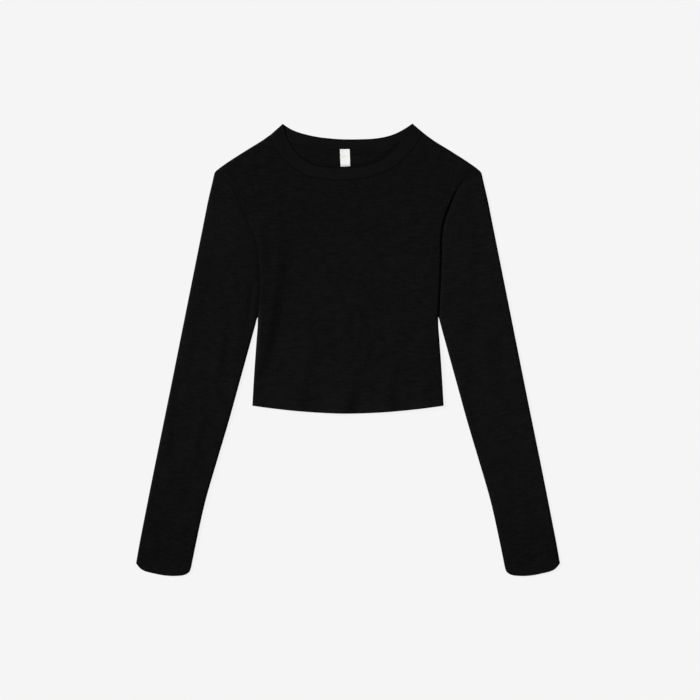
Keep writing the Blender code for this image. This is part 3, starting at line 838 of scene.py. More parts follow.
def frontHeight(plan):
    # the level, plus the side swell and the neck rise as the root of their squares, the left strip, the hem's
    # waves, the creases and the hem
    across, up = plan[..., 0], plan[..., 1]
    fromSide = fromSides(plan)
    onLeft = across < 0.0
    share = np.where(onLeft, readTable(front["leftShare"], up), readTable(front["rightShare"], up))
    crestShare = np.where(onLeft, readTable(front["crestShare"], up), 0.0)
    swell = readTable(front["sideRise"], fromSide) * share
    swell = swell + readTable(front["leftCrest"], fromSide) * crestShare
    slope = (across - readTable(front["stripPlace"], up)) / readTable(front["stripWidth"], up)
    drop = readTable(front["stripDrop"], up)
    hollow = front["stripHollow"] * smoothStep(slope + 0.5)
    beyond = (slope - 0.5) * readTable(front["stripWidth"], up)
    hollow = hollow * (1.0 - smoothStep(beyond / front["hollowReach"]))
    crest = (1.0 - front["stripHollow"]) * (1.0 - smoothStep(slope + 0.5))
    kept = readTable(front["stripKept"], up)
    crest = crest * (kept + (1.0 - kept) * smoothStep(fromSide / readTable(front["stripStart"], up)))
    strip = np.where(onLeft, drop * (crest - hollow), 0.0)
    takes, fullDrop, reach = front["stripTakes"]
    taken = takes * smoothStep(drop / fullDrop) * smoothStep(fromSide / reach)
    swell = swell * (1.0 - np.where(onLeft, taken, 0.0))
    fromNeck = distanceTo(frontSeam, plan)
    neck = front["neckRise"] * (1.0 - smoothStep(fromNeck / front["neckReach"]))
    fromHem = up - hemHeight(across)
    waves = 0.0
    for centre, leftWidth, rightWidth, lift, lean, reach in front["hemWaves"]:
        aside = across - centre - lean * fromHem
        fall = (1.0 - np.clip(fromHem / reach, 0.0, 1.0)) ** front["wavePower"]
        waves = waves + lift * fall * bell(aside / np.where(aside < 0.0, leftWidth, rightWidth))
    waves = waves * smoothStep(fromSide / front["waveSideFade"])
    loose = creases(plan, front["creases"])
    loose = loose + unevenness(plan, front["unevenSeed"], front["unevenSize"], front["unevenLift"])
    loose = loose * smoothStep(fromSide / front["looseFromSide"])
    loose = loose * smoothStep(fromNeck / front["looseFromNeck"])
    height = front["level"] + np.hypot(swell, neck) + strip + waves + loose + hemSwell(fromHem)
    atNeck = bell(fromNeck / front["neckDipReach"])
    return height - cloth["needleDent"] * needleDents(fromHem) - front["neckDip"] * atNeck


def armholeLine(side):
    # from the underarm to the shoulder tip, as on the right
    return smoothCurve(body["armholeLeft" if side == "left" else "armholeRight"], 8)


def armholeShade(plan):
    # the shade along the left armhole
    fromArmhole = distanceTo(armholeLine("left") * (-1.0, 1.0), plan)
    return readTable(front["armholeShade"], plan[..., 1]) * bell(fromArmhole / cloth["seamReach"])


def bodyPaintedShade(plan, neckLine):
    # painted shade: a little paler towards the hem, darker up to the shoulders, in soft patches, along the
    # neck seam and along the left armhole
    fade = readTable(front["fade"], plan[..., 1]) + hemPaintedLight(plan[..., 1] - hemHeight(plan[..., 0]))
    for x, y, width, height, amount in front["paintedShadePatches"]:
        fade = fade + amount * bell((plan[..., 0] - x) / width) * bell((plan[..., 1] - y) / height)
    fromNeck = distanceTo(neckLine, plan)
    fade = fade + readTable(front["neckShade"], plan[..., 0]) * bell(fromNeck / front["neckShadeReach"])
    return fade + armholeShade(plan)


def alongArmhole(fade):
    # 1 on the rows along the armhole, falling to 0 over its first and last rows
    row = np.arange(len(bodyRight), dtype=float)
    return smoothStep((row - sideRows) / fade) * smoothStep((sideRows + armholeRows - 1 - row) / fade)


def bodyLayer(neckLine, columns, roll, armholeFolds):
    # the folds have widths of their own along the armholes
    share = arcLengths(bodyRight) / arcLengths(bodyRight)[-1]
    blend = alongArmhole(body["foldFadeRows"])
    folds = [cloth["foldWidth"] + (fold - cloth["foldWidth"]) * blend for fold in armholeFolds]
    return {
        "left": bodyLeft, "right": bodyRight, "first": hemLine, "last": neckLine, "share": share, "power": 3,
        "leftRoll": roll, "rightRoll": roll, "columns": columns, "turn": seamTurn, "foldWidth": folds,
    }


def closingRows(rows, wall):
    # thickness factor of each row: rounded off at the first ones
    factor = np.ones(rows)
    stops = roundedStops(wall)[1]
    factor[: len(stops)] = stops
    return factor


def seamThinning(fromSeam):
    # thickness factor next to the neck seam
    return 1.0 - neckband["seamPinch"] * bell(fromSeam / neckband["seamPinch"])


def panelFaces(layer, levelAt, upward, neckLine):
    # outer and inner face of a panel, each fold + (level - fold) * its turn, where it is clear of the fold;
    # upward is 1 for the front and -1 for the back
    depth = layer["right"][:, 1] - layer["right"][0, 1]
    edgeWall = hemWall(depth)
    plan, clear = foldGrid(layer, np.zeros(len(depth)))
    level = levelAt(plan)
    fold = lippedFold(level)
    outer = np.dstack((plan, fold + (level - fold) * clear))
    innerPlan, clear = foldGrid(layer, edgeWall)
    innerLevel = levelAt(innerPlan)
    wall = hemWall(innerPlan[..., 1] - hemHeight(innerPlan[..., 0]))
    fold = lippedFold(innerLevel)
    inner = np.dstack((innerPlan, fold + (innerLevel - upward * wall - fold) * clear))
    thin = closingRows(len(depth), cloth["hemWall"])[:, None] * seamThinning(distanceTo(neckLine, plan))
    # painted shade, plus a little wear along the folds
    fade = bodyPaintedShade(plan, neckLine) + cloth["foldFade"] * (1.0 - np.clip(clear, 0.0, 1.0))
    return *pinch(outer, inner, thin), fade


jerseyBody = jerseyFinish("blackJersey", 0.0)
thread = threadFinish("blackThread", **blackThread)
# sit: height of a thread's middle above the cloth
hemStitch = {"pitch": 3.1, "length": 2.7, "width": 0.55, "height": 0.34, "sit": 0.08}


def hemThread(name, face, outward, fromEdge, closed=False):
    # the rows of stitches that lie at set distances from a hem's edge
    lines = [lineOnFace(face, outward, fromEdge, depth) for depth in cloth["needleRows"]]
    return makeStitches(name, lines, hemStitch, thread, closed)


frontFolds = (front["leftArmholeFold"], front["rightArmholeFold"])
frontLayer = bodyLayer(frontSeam, body["frontColumns"], np.ones(len(bodyRight)), frontFolds)
frontOuter, frontInner, fade = panelFaces(frontLayer, frontHeight, 1, frontSeam)
frontPanel = makeWall("frontPanel", frontOuter, frontInner, jerseyBody, fade, grain=0.0)
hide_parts("front_panel")
frontHemThread = hemThread("frontHemThread", frontOuter, 1, depths(frontOuter))
print("front panel:", frontOuter.shape[:2], "points a face")

back = {
    "armholeDip": 0.5,  # the underside turns up into the seams
    "neckDip": 0.2,
    "unevenSeed": 8,
    "unevenSize": 46.0,
    "unevenLift": 0.16,
    "hollowFromSide": 16.0,
    # width to the left and right, height of the hollow under the cloth, points from below upwards
    "creases": (
        (14.0, 10.0, 0.55, (-70.0, 40.0), (-104.0, 150.0)),
        (9.0, 13.0, 0.50, (108.0, 70.0), (88.0, 172.0)),
        (12.0, 12.0, 0.40, (-60.0, 236.0), (52.0, 228.0)),
        (12.0, 15.0, 0.50, (-6.0, -8.0), (-24.0, 120.0)),
        (10.0, 14.0, 0.45, (70.0, -30.0), (52.0, 60.0)),
        (9.0, 9.0, 0.40, (-96.0, 196.0), (-120.0, 224.0)),
        (9.0, 9.0, 0.40, (92.0, 206.0), (112.0, 240.0)),
    ),
    # inside the neck opening the cloth lies a little higher than under the front's edge:
    # place across, height of that, and width of its step
    "neckPuff": ((-95, 0.5), (-78, 1.1), (-60, 1.3), (-30, 0.9), (40, 0.8), (94, 0.3)),
    "puffStep": ((-60, 2.6), (-15, 3.0), (60, 4.0)),
    "puffReach": 9.0,
}


def neckPuff(plan):
    # 0 under the front neckline, rising within a few millimetres of its edge, and 0 again at the back's edge
    inside = plan[..., 1] > np.interp(plan[..., 0], *frontEdge.T)
    reach = np.where(inside, distanceTo(frontEdge, plan), 0.0)
    atEdge = smoothStep(distanceTo(backEdge, plan) / back["puffReach"])
    step = smoothStep(reach / readTable(back["puffStep"], plan[..., 0]))
    return readTable(back["neckPuff"], plan[..., 0]) * step * atEdge


def backHeight(plan):
    # underside of the back: flat on the ground, with shallow hollows, and turned up at its seams
    mirrored = plan * (-1.0, 1.0)
    ways = (distanceTo(armholeLine("right"), plan), distanceTo(armholeLine("left"), mirrored))
    fromArmhole = np.minimum(*ways)
    fromSide = fromSides(plan)
    fromHem = plan[..., 1] - hemHeight(plan[..., 0])
    hollow = creases(plan, back["creases"])
    loose = unevenness(plan, back["unevenSeed"], back["unevenSize"], back["unevenLift"])
    hollow = (hollow + np.maximum(0.0, loose)) * smoothStep(fromSide / back["hollowFromSide"])
    hollow = hollow * smoothStep((fromHem - cloth["hollowStart"]) / cloth["hollowEase"])
    seams = back["armholeDip"] * bell(fromArmhole / cloth["seamReach"])
    seams = seams + back["neckDip"] * bell(distanceTo(backSeam, plan) / cloth["seamReach"])
    hem = cloth["hemSwell"] - hemSwell(fromHem) + cloth["needleDentUnder"] * needleDents(fromHem)
    return hollow + seams + hem + neckPuff(plan)


backRoll = 1.0 - alongArmhole(body["lipFadeRows"])
backLayer = bodyLayer(backSeam, body["backColumns"], backRoll, (cloth["foldWidth"], cloth["foldWidth"]))
backOuter, backInner, fade = panelFaces(backLayer, backHeight, -1, backSeam)
backPanel = makeWall("backPanel", backOuter, backInner, jerseyBody, fade, grain=0.0)
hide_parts("back_panel")
backHemThread = hemThread("backHemThread", backOuter, -1, depths(backOuter))
print("back panel:", backOuter.shape[:2], "points a face")


# sleeves

sleeve = {
    "inner": (
        (130.5, 48.6), (131.2, 47.7), (132.0, 45.8), (133.5, 40.0), (140.6, 13.8), (156.6, -44.2),
        (172.6, -102.2), (189.8, -160.2), (206.6, -218.2), (219.6, -276.2), (227.8, -316.5),
    ),
    "cuff": (
        (227.8, -316.5), (230.4, -322.9), (237.0, -326.4), (249.5, -327.8), (279.0, -324.7), (300.9, -317.2),
        (307.6, -309.5),
    ),
    "outer": (
        (186.7, 263.5), (191.2, 260.2), (193.5, 257.2), (194.8, 252.5), (196.2, 246.2), (203.0, 216.8),
        (208.8, 187.8), (237.8, 42.8), (261.0, -73.2), (284.6, -189.2), (295.9, -246.5), (302.6, -281.0),
        (307.6, -309.5),
    ),
    # distance from the armhole, height of the upper face
    "topLeft": ((0, 1.95), (1.5, 2.15), (5, 2.85), (12, 3.35), (30, 3.85), (60, 3.9)),
    "topRight": ((0, 1.95), (2, 2.5), (4, 3.05), (8, 3.3), (34, 3.75), (60, 3.9)),
    "cuffDrop": 0.5,
    "cuffReach": 60.0,
    # towards the shoulder tip the upper face comes up level with the front's edge: distance from the armhole
    # and height of that face, then height on the layout and the share that it takes
    "topFilled": ((0, 3.15), (14, 3.4), (34, 3.8), (60, 3.9)),
    "fillLeft": ((-330, 0.0), (190, 0.0), (205, 0.6), (216, 1.0), (270, 1.0)),
    "fillRight": ((-330, 0.0), (196, 0.0), (214, 0.3), (228, 0.5), (240, 0.9), (250, 1.0), (270, 1.0)),
    # height on the layout, painted shade: darker towards the cuffs and the shoulder tip, as the light falls
    # off
    "fadeLeft": (
        (-330, -0.18), (-300, -0.22), (-280, -0.24), (-230, -0.13), (-160, -0.03), (-40, 0.0), (60, -0.01),
        (120, 0.0), (160, 0.04), (200, 0.1), (228, 0.08), (240, -0.02), (252, -0.09), (265, -0.1),
    ),
    "fadeRight": (
        (-330, -0.14), (-300, -0.16), (-280, -0.13), (-230, 0.03), (-160, 0.07), (-40, 0.12), (60, 0.08),
        (140, 0.08), (200, 0.02), (265, -0.06),
    ),
    # height on the layout, how much more painted shade the outer fold gets than the inner edge
    "slantLeft": (
        (-330, -0.2), (-226, -0.18), (-154, -0.09), (-60, -0.05), (134, -0.05), (200, 0.04), (265, 0.0),
    ),
    "slantRight": ((-330, 0.0), (-60, 0.05), (100, 0.08), (265, 0.08)),
    "middle": (205.7, 0.198),  # of the sleeve at height 0, and how far it moves out per millimetre down
    "breadth": 90.0,
    "grain": 11.3,
    "overlap": 0.25,  # how far the edges of sleeve and body reach into each other along the armhole
    "tuck": 8.0,  # how far the upper layer lies under the front's edge
    "tuckEase": 3.0,  # stretches of the armhole over which it grows to that
    "firstShare": 0.012,  # of the armhole, from the underarm to its first row
    "openingRows": 5.0,  # rows over which the inner fold flattens out above the underarm
    "rowStep": 3.2,
    "rowsAtUnderarm": (2.2, 1.1),  # distances of more rows from the underarm
    "upperColumns": 36,
    "lowerColumns": 26,
    "lastStretch": 1.0 / 16.0,  # share of the armhole, at the shoulder, that the last row follows
    "lastTuck": (-0.9, 1.2),
    "looseFromArmhole": 16.0,
    "looseFromCuff": 22.0,
    "hollowFromArmhole": 14.0,
    "unevenSize": 34.0,
    "unevenLift": 0.12,
    "seeds": {"left": (11, 23), "right": (17, 29)},  # for the upper and the lower layer
    "underSize": 44.0,
    "underLift": 0.14,
    # width to the left and right, rise, points from below upwards, as on the right sleeve
    "creasesLeft": (
        (7.0, 9.0, 0.55, (219.0, 58.0), (214.0, 112.0)),
        (8.0, 8.0, 0.45, (233.0, -14.0), (229.0, 14.0)),
        (6.0, 14.0, 0.9, (190.0, -36.0), (182.0, 18.0)),
        (9.0, 9.0, 0.45, (164.0, -8.0), (154.0, 38.0)),
        (8.0, 9.0, 0.75, (263.0, -142.0), (256.0, -72.0)),
        (6.0, 18.0, 0.8, (226.0, -168.0), (213.0, -96.0)),
        (8.0, 10.0, 0.5, (257.0, -192.0), (254.0, -170.0)),
        (8.0, 8.0, 0.5, (285.0, -297.0), (281.0, -277.0)),
        (8.0, 10.0, 0.4, (238.0, -262.0), (232.0, -228.0)),
        (8.0, 10.0, 0.35, (176.0, 120.0), (172.0, 160.0)),
        (4.5, 4.0, -1.1, (142.5, 50.0), (140.6, 66.0), (138.2, 94.0)),
    ),
    "creasesRight": (
        (16.0, 8.0, 0.5, (171.0, -38.0), (166.0, 25.0), (172.0, 85.0), (181.0, 155.0)),
        (12.0, 9.0, 0.4, (226.0, -178.0), (222.0, -128.0)),
        (7.0, 6.0, 0.4, (170.0, 210.0), (171.0, 246.0)),
        (12.0, 8.0, 0.4, (206.0, -62.0), (198.0, 8.0)),
        (10.0, 8.0, 0.4, (262.0, -272.0), (254.0, -214.0)),
        (12.0, 8.0, 0.35, (216.0, 30.0), (206.0, 104.0)),
    ),
    "hollows": (
        (10.0, 13.0, 0.45, (176.0, 0.0), (160.0, 110.0)),
        (13.0, 11.0, 0.45, (228.0, -90.0), (210.0, 20.0)),
        (10.0, 13.0, 0.40, (236.0, -230.0), (214.0, -130.0)),
    ),
}
cuffLine = smoothCurve(sleeve["cuff"])


def sleeveTop(plan, armhole, side):
    # upper face: dips to the armhole seam and a little to the cuff, with long creases
    fromArmhole = distanceTo(armhole, plan)
    fromCuff = distanceTo(cuffLine, plan)
    filled = readTable(sleeve["fill" + side.title()], plan[..., 1])
    top = (1.0 - filled) * readTable(sleeve["top" + side.title()], fromArmhole)
    top = top + filled * readTable(sleeve["topFilled"], fromArmhole)
    top = top - sleeve["cuffDrop"] * (1.0 - smoothStep(fromCuff / sleeve["cuffReach"]))
    loose = creases(plan, sleeve["creases" + side.title()])
    loose = loose + unevenness(plan, sleeve["seeds"][side][0], sleeve["unevenSize"], sleeve["unevenLift"])
    loose = loose * smoothStep(fromArmhole / sleeve["looseFromArmhole"])
    top = top + loose * smoothStep(fromCuff / sleeve["looseFromCuff"])
    return top + hemSwell(fromCuff) - cloth["needleDent"] * needleDents(fromCuff)


def sleeveUnder(plan, armhole, side):
    # lower face: flat on the ground with shallow hollows, turned up at the armhole seam
    fromCuff = distanceTo(cuffLine, plan)
    fromArmhole = distanceTo(armhole, plan)
    loose = unevenness(plan, sleeve["seeds"][side][1], sleeve["underSize"], sleeve["underLift"])
    hollow = creases(plan, sleeve["hollows"]) + np.maximum(0.0, loose)
    hollow = hollow * smoothStep((fromCuff - cloth["hollowStart"]) / cloth["hollowEase"])
    hollow = hollow * smoothStep(fromArmhole / sleeve["hollowFromArmhole"])
    hem = cloth["hemSwell"] - hemSwell(fromCuff) + cloth["needleDentUnder"] * needleDents(fromCuff)
    return hollow + back["armholeDip"] * bell(fromArmhole / cloth["seamReach"]) + hem


def sleevePaintedShade(plan, side):
    # painted shade: by height, by the share of the way across, a little paler on the hems, and along the left
    # armhole
    across, up = plan[..., 0], plan[..., 1]
    share = (across - sleeve["middle"][0] + sleeve["middle"][1] * up) / sleeve["breadth"]
    slant = readTable(sleeve["slant" + side.title()], up) * share
    fade = readTable(sleeve["fade" + side.title()], up) + slant + hemPaintedLight(distanceTo(cuffLine, plan))
    return fade + armholeShade(plan * (-1.0, 1.0)) if side == "left" else fade


def sleeveEdges(side):
    # inner edges of the upper and the lower layer from the cuff up, the outer fold, and where the tube opens
    armhole = armholeLine(side)
    inner = smoothCurve(sleeve["inner"])[::-1]
    length = arcLengths(inner)[-1]
    nearUnderarm = 1.0 - np.array(sleeve["rowsAtUnderarm"]) / length
    tubeRows = along(inner, np.insert(hemRows(length, sleeve["rowStep"]), -1, nearUnderarm))
    steps = int(arcLengths(armhole)[-1] / sleeve["rowStep"])
    share = np.linspace(sleeve["firstShare"], 1.0 - sleeve["lastStretch"], steps)
    tangent = np.gradient(armhole, axis=0)
    tangent = along(tangent / np.linalg.norm(tangent, axis=1, keepdims=True), share)
    inward = np.stack((-tangent[:, 1], tangent[:, 0]), axis=-1)
    seam = along(armhole, share) + sleeve["overlap"] * inward
    fromEnds = np.minimum(share, 1.0 - share) / sleeve["lastStretch"] - 1.0
    tuck = sleeve["tuck"] * smoothStep(fromEnds / sleeve["tuckEase"])[:, None]
    lower = np.vstack((tubeRows, seam))
    upper = np.vstack((tubeRows, seam + inward * tuck))
    reach = arcLengths(lower) / arcLengths(lower)[-1]
    outer = along(smoothCurve(sleeve["outer"])[::-1], reach)
    roll = 1.0 - smoothStep((np.arange(len(lower)) - len(tubeRows) + 1) / sleeve["openingRows"])
    return upper, lower, outer, reach, roll, len(tubeRows)


def sleeveFaces(side):
    # outer and inner face of the flattened tube: upper layer, outer fold, lower layer back to the inner edge
    armhole = armholeLine(side)
    upper, lower, outerFold, reach, roll, tubeRows = sleeveEdges(side)
    # the last row follows the top of the armhole; the upper layer reaches under the front's edge there
    part = np.linspace(0.0, 1.0, 41)
    shoulder = along(armhole, 1.0 - sleeve["lastStretch"] * (1.0 - part))
    tucked = shoulder + np.outer(4.0 * part * (1.0 - part), sleeve["lastTuck"])
    faces = []
    for inward in (0, 1):
        halves = []
        for edge, last, columns in (
            (upper, tucked, sleeve["upperColumns"]), (lower, shoulder, sleeve["lowerColumns"])
        ):
            layer = {
                "left": edge, "right": outerFold, "first": cuffLine, "last": last,
                "share": reach, "power": 3, "leftRoll": roll, "rightRoll": np.ones(len(edge)),
                "columns": columns, "turn": foldTurn, "foldWidth": cloth["foldWidth"],
            }
            plan, clear = foldGrid(layer, inward * hemWall(arcLengths(edge)))
            top = sleeveTop(plan, armhole, side)
            wall = inward * hemWall(distanceTo(cuffLine, plan))
            level = top - wall if edge is upper else sleeveUnder(plan, armhole, side) + wall
            halves.append((np.dstack((plan, top / 2 + (level - top / 2) * clear)), sleevePaintedShade(plan, side)))
        faces.append(np.hstack((halves[0][0], halves[1][0][:, ::-1])))
        fade = np.hstack((halves[0][1], halves[1][1][:, ::-1]))
    outer, inner = pinch(*faces, closingRows(len(upper), cloth["hemWall"]))
    return outer, inner, fade, tubeRows


jerseySleeve = jerseyFinish("blackJerseySleeve", 20.0)
sleeves, cuffThreads = {}, {}
for side in ("left", "right"):
    outer, inner, fade, tubeRows = sleeveFaces(side)
    sign = -1 if side == "left" else 1
    outer, inner = outer * (sign, 1.0, 1.0), inner * (sign, 1.0, 1.0)
    # the rows up to tubeRows close into a tube and the rest lie open, so the grids are turned end for end
    sleeves[side] = makeWall(
        "sleeve" + side.title(), outer[::-1], inner[::-1], jerseySleeve, fade[::-1],
        closedFrom=len(outer) - tubeRows, grain=sign * sleeve["grain"],
    )
    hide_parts("sleeve_" + side)
    fromCuff = distanceTo(cuffLine * (sign, 1.0), outer[..., :2])
    cuffThreads[side] = hemThread("cuffThread" + side.title(), outer, sign, fromCuff, closed=True)
    print("sleeve", side + ":", outer.shape[:2], "points a face")


# neckband

def bandRows():
    # shares of the band's width: close together at the seam and round the folded edge
    atEdge = (neckband["width"] - roundedStops(neckband["wall"])[0])[::-1]
    rows = np.concatenate((neckband["seamRows"], np.linspace(*neckband["middleRows"]), atEdge))
    return rows / neckband["width"]


def ridgeAt(distance, name):
    # a bell round a place across the band
    place, halfWidth = neckband[name]
    return bell((distance - place) / halfWidth)


def bandHalf(half, columns, inward):
    # one half of the ring: rows run from its seam to its folded edge, with a fold at either end; its level is
    # the middle of the band plus half its thickness, less the grooves between the ribs
    seam, edge = (frontSeam, frontEdge) if half == "front" else (backSeam, backEdge)
    share = bandRows()
    even = np.linspace(0.0, 1.0, neckband["edgePoints"])
    seam, edge = along(seam, even), along(edge, even)
    ends = [(1.0 - share[:, None]) * seam[i] + share[:, None] * edge[i] for i in (0, -1)]
    layer = {
        "left": ends[0], "right": ends[1], "first": seam, "last": edge, "share": share, "power": 1,
        "leftRoll": np.ones(len(share)), "rightRoll": np.ones(len(share)),
        "columns": columns, "turn": foldTurn, "foldWidth": cloth["foldWidth"],
    }
    plan, clear = foldGrid(layer, np.full(len(share), inward * neckband["wall"]))
    thickness = neckband["wall"] / 2
    fromSeam = (share * neckband["width"])[:, None]
    dip = neckband["seamDip"] * bell(fromSeam / neckband["seamDipReach"])
    if half == "front":
        # from the front panel's own level at the seam down to the free edge
        atSeam = frontHeight(plan[:1]) + front["neckDip"] - cloth["wall"] / 2
        innerTop = readTable(neckband["innerTop"], plan[..., 0])
        ridge = neckband["seamRidge"] * ridgeAt(fromSeam, "seamRidgePlace")
        middle = atSeam + (innerTop - thickness - atSeam) * smoothStep(share)[:, None] - dip + ridge
    else:
        middle = thickness + dip + neckPuff(plan)
    closing = closingRows(len(share), neckband["wall"])[::-1, None] * seamThinning(fromSeam)
    # ribs are spaced along the band's middle row
    centre = len(share) // 2
    length = arcLengths(spread(layer, np.zeros((len(share), 1)) + np.linspace(0, 1, 400))[centre])[-1]
    place = arcLengths(plan[centre])
    place = place * length / place[-1]
    rib = neckband["ribDepth"] * (0.5 + 0.5 * np.cos(2 * np.pi * place / neckband["ribPitch"]))
    outwards = 1.0 if half == "front" else -1.0
    facing = outwards * (1.0 - 2.0 * inward)
    level = middle + facing * (thickness - neckband["ribDepth"] + rib) * closing
    fold = neckband["foldLevel"]
    # the free edge and the seam lie in shade, less so on the back half
    across = plan[..., 0]
    shade = readTable(neckband["seamShade"], across) * bell(fromSeam / neckband["seamShadeReach"])
    # a painted highlight along the ridge just inside the seam
    shade = shade + neckband["ridgeShade"] * ridgeAt(fromSeam, "ridgeShadePlace")
    shade = shade * (1.0 if half == "front" else neckband["backSeamShare"])
    atEdge = ridgeAt(neckband["width"] - fromSeam, "edgeShadePlace")
    shade = shade + readTable(neckband["edgeShade"], across) * atEdge
    # painted shade along each half of the band, paler or darker as the light falls on it
    shade = shade + readTable(neckband[half + "PaintedShading"], across)
    return np.dstack((plan, fold + (level - fold) * clear)), shade


def bandFace(inward):
    # the ring: its front half, then its back half the other way round
    frontHalf, frontShade = bandHalf("front", neckband["frontColumns"], inward)
    backHalf, backShade = bandHalf("back", neckband["backColumns"], inward)
    return np.hstack((frontHalf, backHalf[:, ::-1])), np.hstack((frontShade, backShade[:, ::-1]))


rib = ribFinish("blackRib")
bandOuter, fade = bandFace(0)
bandInner = bandFace(1)[0]
neckBand = makeWall("neckBand", bandOuter, bandInner, rib, fade, closedFrom=0)
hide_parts("neckband")
print("neckband:", bandOuter.shape[:2], "points a face")


# inside of the back neck: overlocked seam allowance and label

overlock = {
    "rows": (0.0, 0.4, 1.2, 2.4, 3.6, 4.8, 5.6, 6.0),  # down from the seam
    "closing": (0.7, 1, 1, 1, 1, 1, 0.8, 0.35),
    "columns": 160,
    "wave": 0.12,
    "waveLength": 7.0,  # over a turn of one radian
    "reach": 80.0,  # it shows this far to each side
    "endFade": 6.0,  # over which it thins out there
    "endShare": 0.4,
    "level": 0.92,
    "thickness": 0.35,
    "pitch": 2.3,
    "slant": 0.25,  # of a pitch
    "needleRow": 2,
    "edgeRow": 6,
}


def allowanceFace(height):
    # a ribbon below the back neck seam: rows across its width, columns along the seam, and a sine wave along
    # its loose edge
    columns = np.linspace(-overlock["reach"], overlock["reach"], overlock["columns"])
    seam = np.stack((columns, np.interp(columns, *backSeam.T)), axis=-1)
    down = np.array(overlock["rows"])
    grid = seam[None] - np.stack((np.zeros(len(down)), down), axis=-1)[:, None]
    wave = overlock["wave"] * np.sin(columns / overlock["waveLength"]) * (down / down[-1])[:, None]
    fade = smoothStep((overlock["reach"] - np.abs(columns)) / overlock["endFade"])
    thickness = height * (overlock["endShare"] + (1.0 - overlock["endShare"]) * fade)
    return np.dstack((grid, overlock["level"] + neckPuff(grid) + wave + thickness))


allowanceFaces = (allowanceFace(height) for height in (overlock["thickness"], 0.0))
allowanceTop, allowanceUnder = pinch(*allowanceFaces, overlock["closing"])
plain = np.zeros(allowanceTop.shape[:2])
seamAllowance = makeWall("neckSeamAllowance", allowanceTop, allowanceUnder, jerseyBody, plain)


def overlockLines():
    # a needle line, an edge line, and slanting loops that cross between them
    top = allowanceTop
    up = (0.0, 0.0, 1.0)
    needle, edge = overlock["needleRow"], overlock["edgeRow"]
    lines = [(top[row], np.broadcast_to(up, top[row].shape)) for row in (needle, edge)]
    loops = int(2 * overlock["reach"] / overlock["pitch"])
    share = (np.arange(loops) + 0.5) / loops
    near, far = along(top[needle - 1], share), along(top[edge], share + overlock["slant"] / loops)
    return lines, [(pair, np.broadcast_to(up, (2, 3))) for pair in np.stack((near, far), axis=1)]


lines, slants = overlockLines()
chainStitch = {"pitch": 2.3, "length": 2.2, "width": 0.45, "height": 0.3, "sit": 0.06}
loopStitch = {"pitch": 4.6, "length": 4.9, "width": 0.4, "height": 0.3, "sit": 0.09}
neckChain = makeStitches("neckOverlockChain", lines, chainStitch, thread)
neckLoops = makeStitches("neckOverlockLoops", slants, loopStitch, thread)

label = {
    "top": (-4.6, 291.3),
    "width": 14.1,
    "length": 30.0,
    "rows": 74,
    "rowInset": 0.7,  # from the ends to the first and the last row
    "columns": 36,
    "columnInset": 0.6,
    "lean": 1.0,
    "tilt": 0.01,
    "wall": 0.3,
    # distance down, height of its underside above the cloth
    "levels": (
        (0.0, 0.95), (2.0, 0.9), (5.0, 0.75), (8.0, 0.68), (12.0, 0.3), (19.0, 0.15), (26.0, 0.08),
        (30.0, 0.04),
    ),
    "curl": 0.12,
    "curlFade": (20.0, 7.0),  # from this far down, and over this length
    "tackRow": 9,
    "tackEnds": 6,
}


def labelFaces():
    # a flat tape whose height above the cloth is read from a table; its two long edges lift a little, as the
    # square of the way out
    edge, closing = roundedStops(label["wall"])
    rows = np.linspace(label["rowInset"], label["length"] - label["rowInset"], label["rows"])
    down = np.concatenate((edge, rows, (label["length"] - edge)[::-1]))
    half = label["width"] / 2
    columns = np.linspace(label["columnInset"] - half, half - label["columnInset"], label["columns"])
    across = np.concatenate((edge - half, columns, (half - edge)[::-1]))
    downClosing, acrossClosing = (
        np.concatenate((closing, np.ones(label[name]), closing[::-1])) for name in ("rows", "columns")
    )
    x = label["top"][0] + across + (label["lean"] * down / label["length"])[:, None]
    y = np.broadcast_to((label["top"][1] - down)[:, None], x.shape) + label["tilt"] * across
    curlStart, curlLength = label["curlFade"]
    fade = 1.0 - smoothStep((down - curlStart) / curlLength)
    under = readTable(label["levels"], down)[:, None] + label["curl"] * fade[:, None] * (across / half) ** 2
    under = np.dstack((x, y, cloth["wall"] + neckPuff(np.dstack((x, y))) + under))
    return pinch(under + (0, 0, label["wall"]), under, downClosing[:, None] * acrossClosing)


tape = tapeFinish("whiteTape")
labelTop, labelUnder = labelFaces()
neckLabel = makeWall("neckLabel", labelTop, labelUnder, tape, np.zeros(labelTop.shape[:2]))
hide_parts("label")
tackStitch = {"pitch": 2.2, "length": 1.8, "width": 0.35, "height": 0.25, "sit": 0.05}
tackRow = labelTop[label["tackRow"], label["tackEnds"] : -label["tackEnds"]]
tackLine = (tackRow, np.broadcast_to((0.0, 0.0, 1.0), tackRow.shape))
labelThread = makeStitches("labelThread", [tackLine], tackStitch, threadFinish("whiteThread", **whiteThread))
print("neck inside: seam allowance, overlock and label")


# floor, light and camera

studio = {
    "floorRadius": 40.0,
    "floorPoints": 96,
    "floorPaintedShading": 0.913,  # what the camera sees of the floor, most of it given by the floor itself
    "floorShare": 0.05,  # part of it that takes the light, and so the shadows
    "ambient": 0.2,
    "keyStrength": 5.0,
    "keyElevation": 30.0,
    "keyAzimuth": 158.0,  # degrees from +X: from the left and a little from the neck's side
    "keyAngle": 12.0,
    "lens": 85.0,
    "viewWidth": 1.015,  # in metres, at the view's level above the floor
    "viewCentre": (0.0029, 0.0),
    "viewLevel": 0.0035,
}


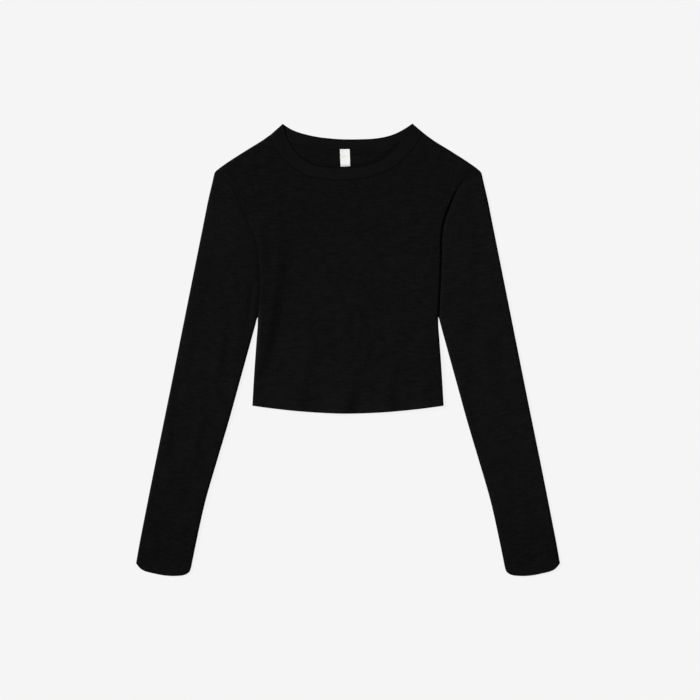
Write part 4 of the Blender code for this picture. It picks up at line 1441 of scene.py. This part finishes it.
def makeFloor():
    # a disc of triangles round its centre, in metres
    mesh = bpy.data.meshes.new("floor")
    count = studio["floorPoints"]
    index = np.arange(count)
    turn = np.linspace(0, 2 * np.pi, count + 1)[:-1]
    ring = np.stack((np.cos(turn), np.sin(turn), np.zeros(count)), axis=-1)
    points = np.vstack((ring * studio["floorRadius"], ((0.0, 0.0, 0.0),)))
    panes = np.stack((index, np.roll(index, -1), np.full(count, count)), axis=-1)
    mesh.from_pydata(points.tolist(), [], panes.tolist())
    floor = bpy.data.objects.new("floor", mesh)
    bpy.context.scene.collection.objects.link(floor)
    finish = Finish("paleFloor", Roughness=1.0, Specular_IOR_Level=0.0)
    taken = studio["floorShare"]
    finish.shader.inputs["Base Color"].default_value = (taken, taken, taken, 1.0)
    given = studio["floorPaintedShading"] - taken
    finish.shader.inputs["Emission Color"].default_value = (given, given, given, 1.0)
    finish.shader.inputs["Emission Strength"].default_value = 1.0
    mesh.materials.append(finish.material)


def makeLight():
    # a low sun, and a soft light from all round
    key = bpy.data.lights.new("keyLight", "SUN")
    key.energy = studio["keyStrength"]
    key.angle = np.radians(studio["keyAngle"])
    lamp = bpy.data.objects.new("keyLight", key)
    lamp.rotation_euler = (0.0, np.radians(90.0 - studio["keyElevation"]), np.radians(studio["keyAzimuth"]))
    bpy.context.scene.collection.objects.link(lamp)
    # the surroundings light the cloth softly, and show behind it as pale as the floor
    world = bpy.data.worlds.new("studio")
    bpy.context.scene.world = world
    world.use_nodes = True
    tree = world.node_tree
    seen, given = tree.nodes.new("ShaderNodeBackground"), tree.nodes.new("ShaderNodeBackground")
    seen.inputs["Strength"].default_value = 1.0
    seen.inputs["Color"].default_value = (studio["floorPaintedShading"],) * 3 + (1.0,)
    given.inputs["Color"].default_value = (1.0, 1.0, 1.0, 1.0)
    given.inputs["Strength"].default_value = studio["ambient"]
    ray, choice = tree.nodes.new("ShaderNodeLightPath"), tree.nodes.new("ShaderNodeMixShader")
    tree.links.new(ray.outputs["Is Camera Ray"], choice.inputs[0])
    tree.links.new(given.outputs[0], choice.inputs[1])
    tree.links.new(seen.outputs[0], choice.inputs[2])
    tree.links.new(choice.outputs[0], tree.nodes["World Output"].inputs[0])


def makeCamera():
    # straight above: its height is the width it sees times the lens over the sensor
    lens = bpy.data.cameras.new("camera")
    lens.lens = studio["lens"]
    camera = bpy.data.objects.new("camera", lens)
    height = studio["viewWidth"] * studio["lens"] / lens.sensor_width + studio["viewLevel"]
    camera.location = (*studio["viewCentre"], height)
    bpy.context.scene.collection.objects.link(camera)
    bpy.context.scene.camera = camera


makeFloor()
makeLight()
makeCamera()
bpy.context.scene.view_settings.view_transform = "Standard"
print("floor, light and camera")
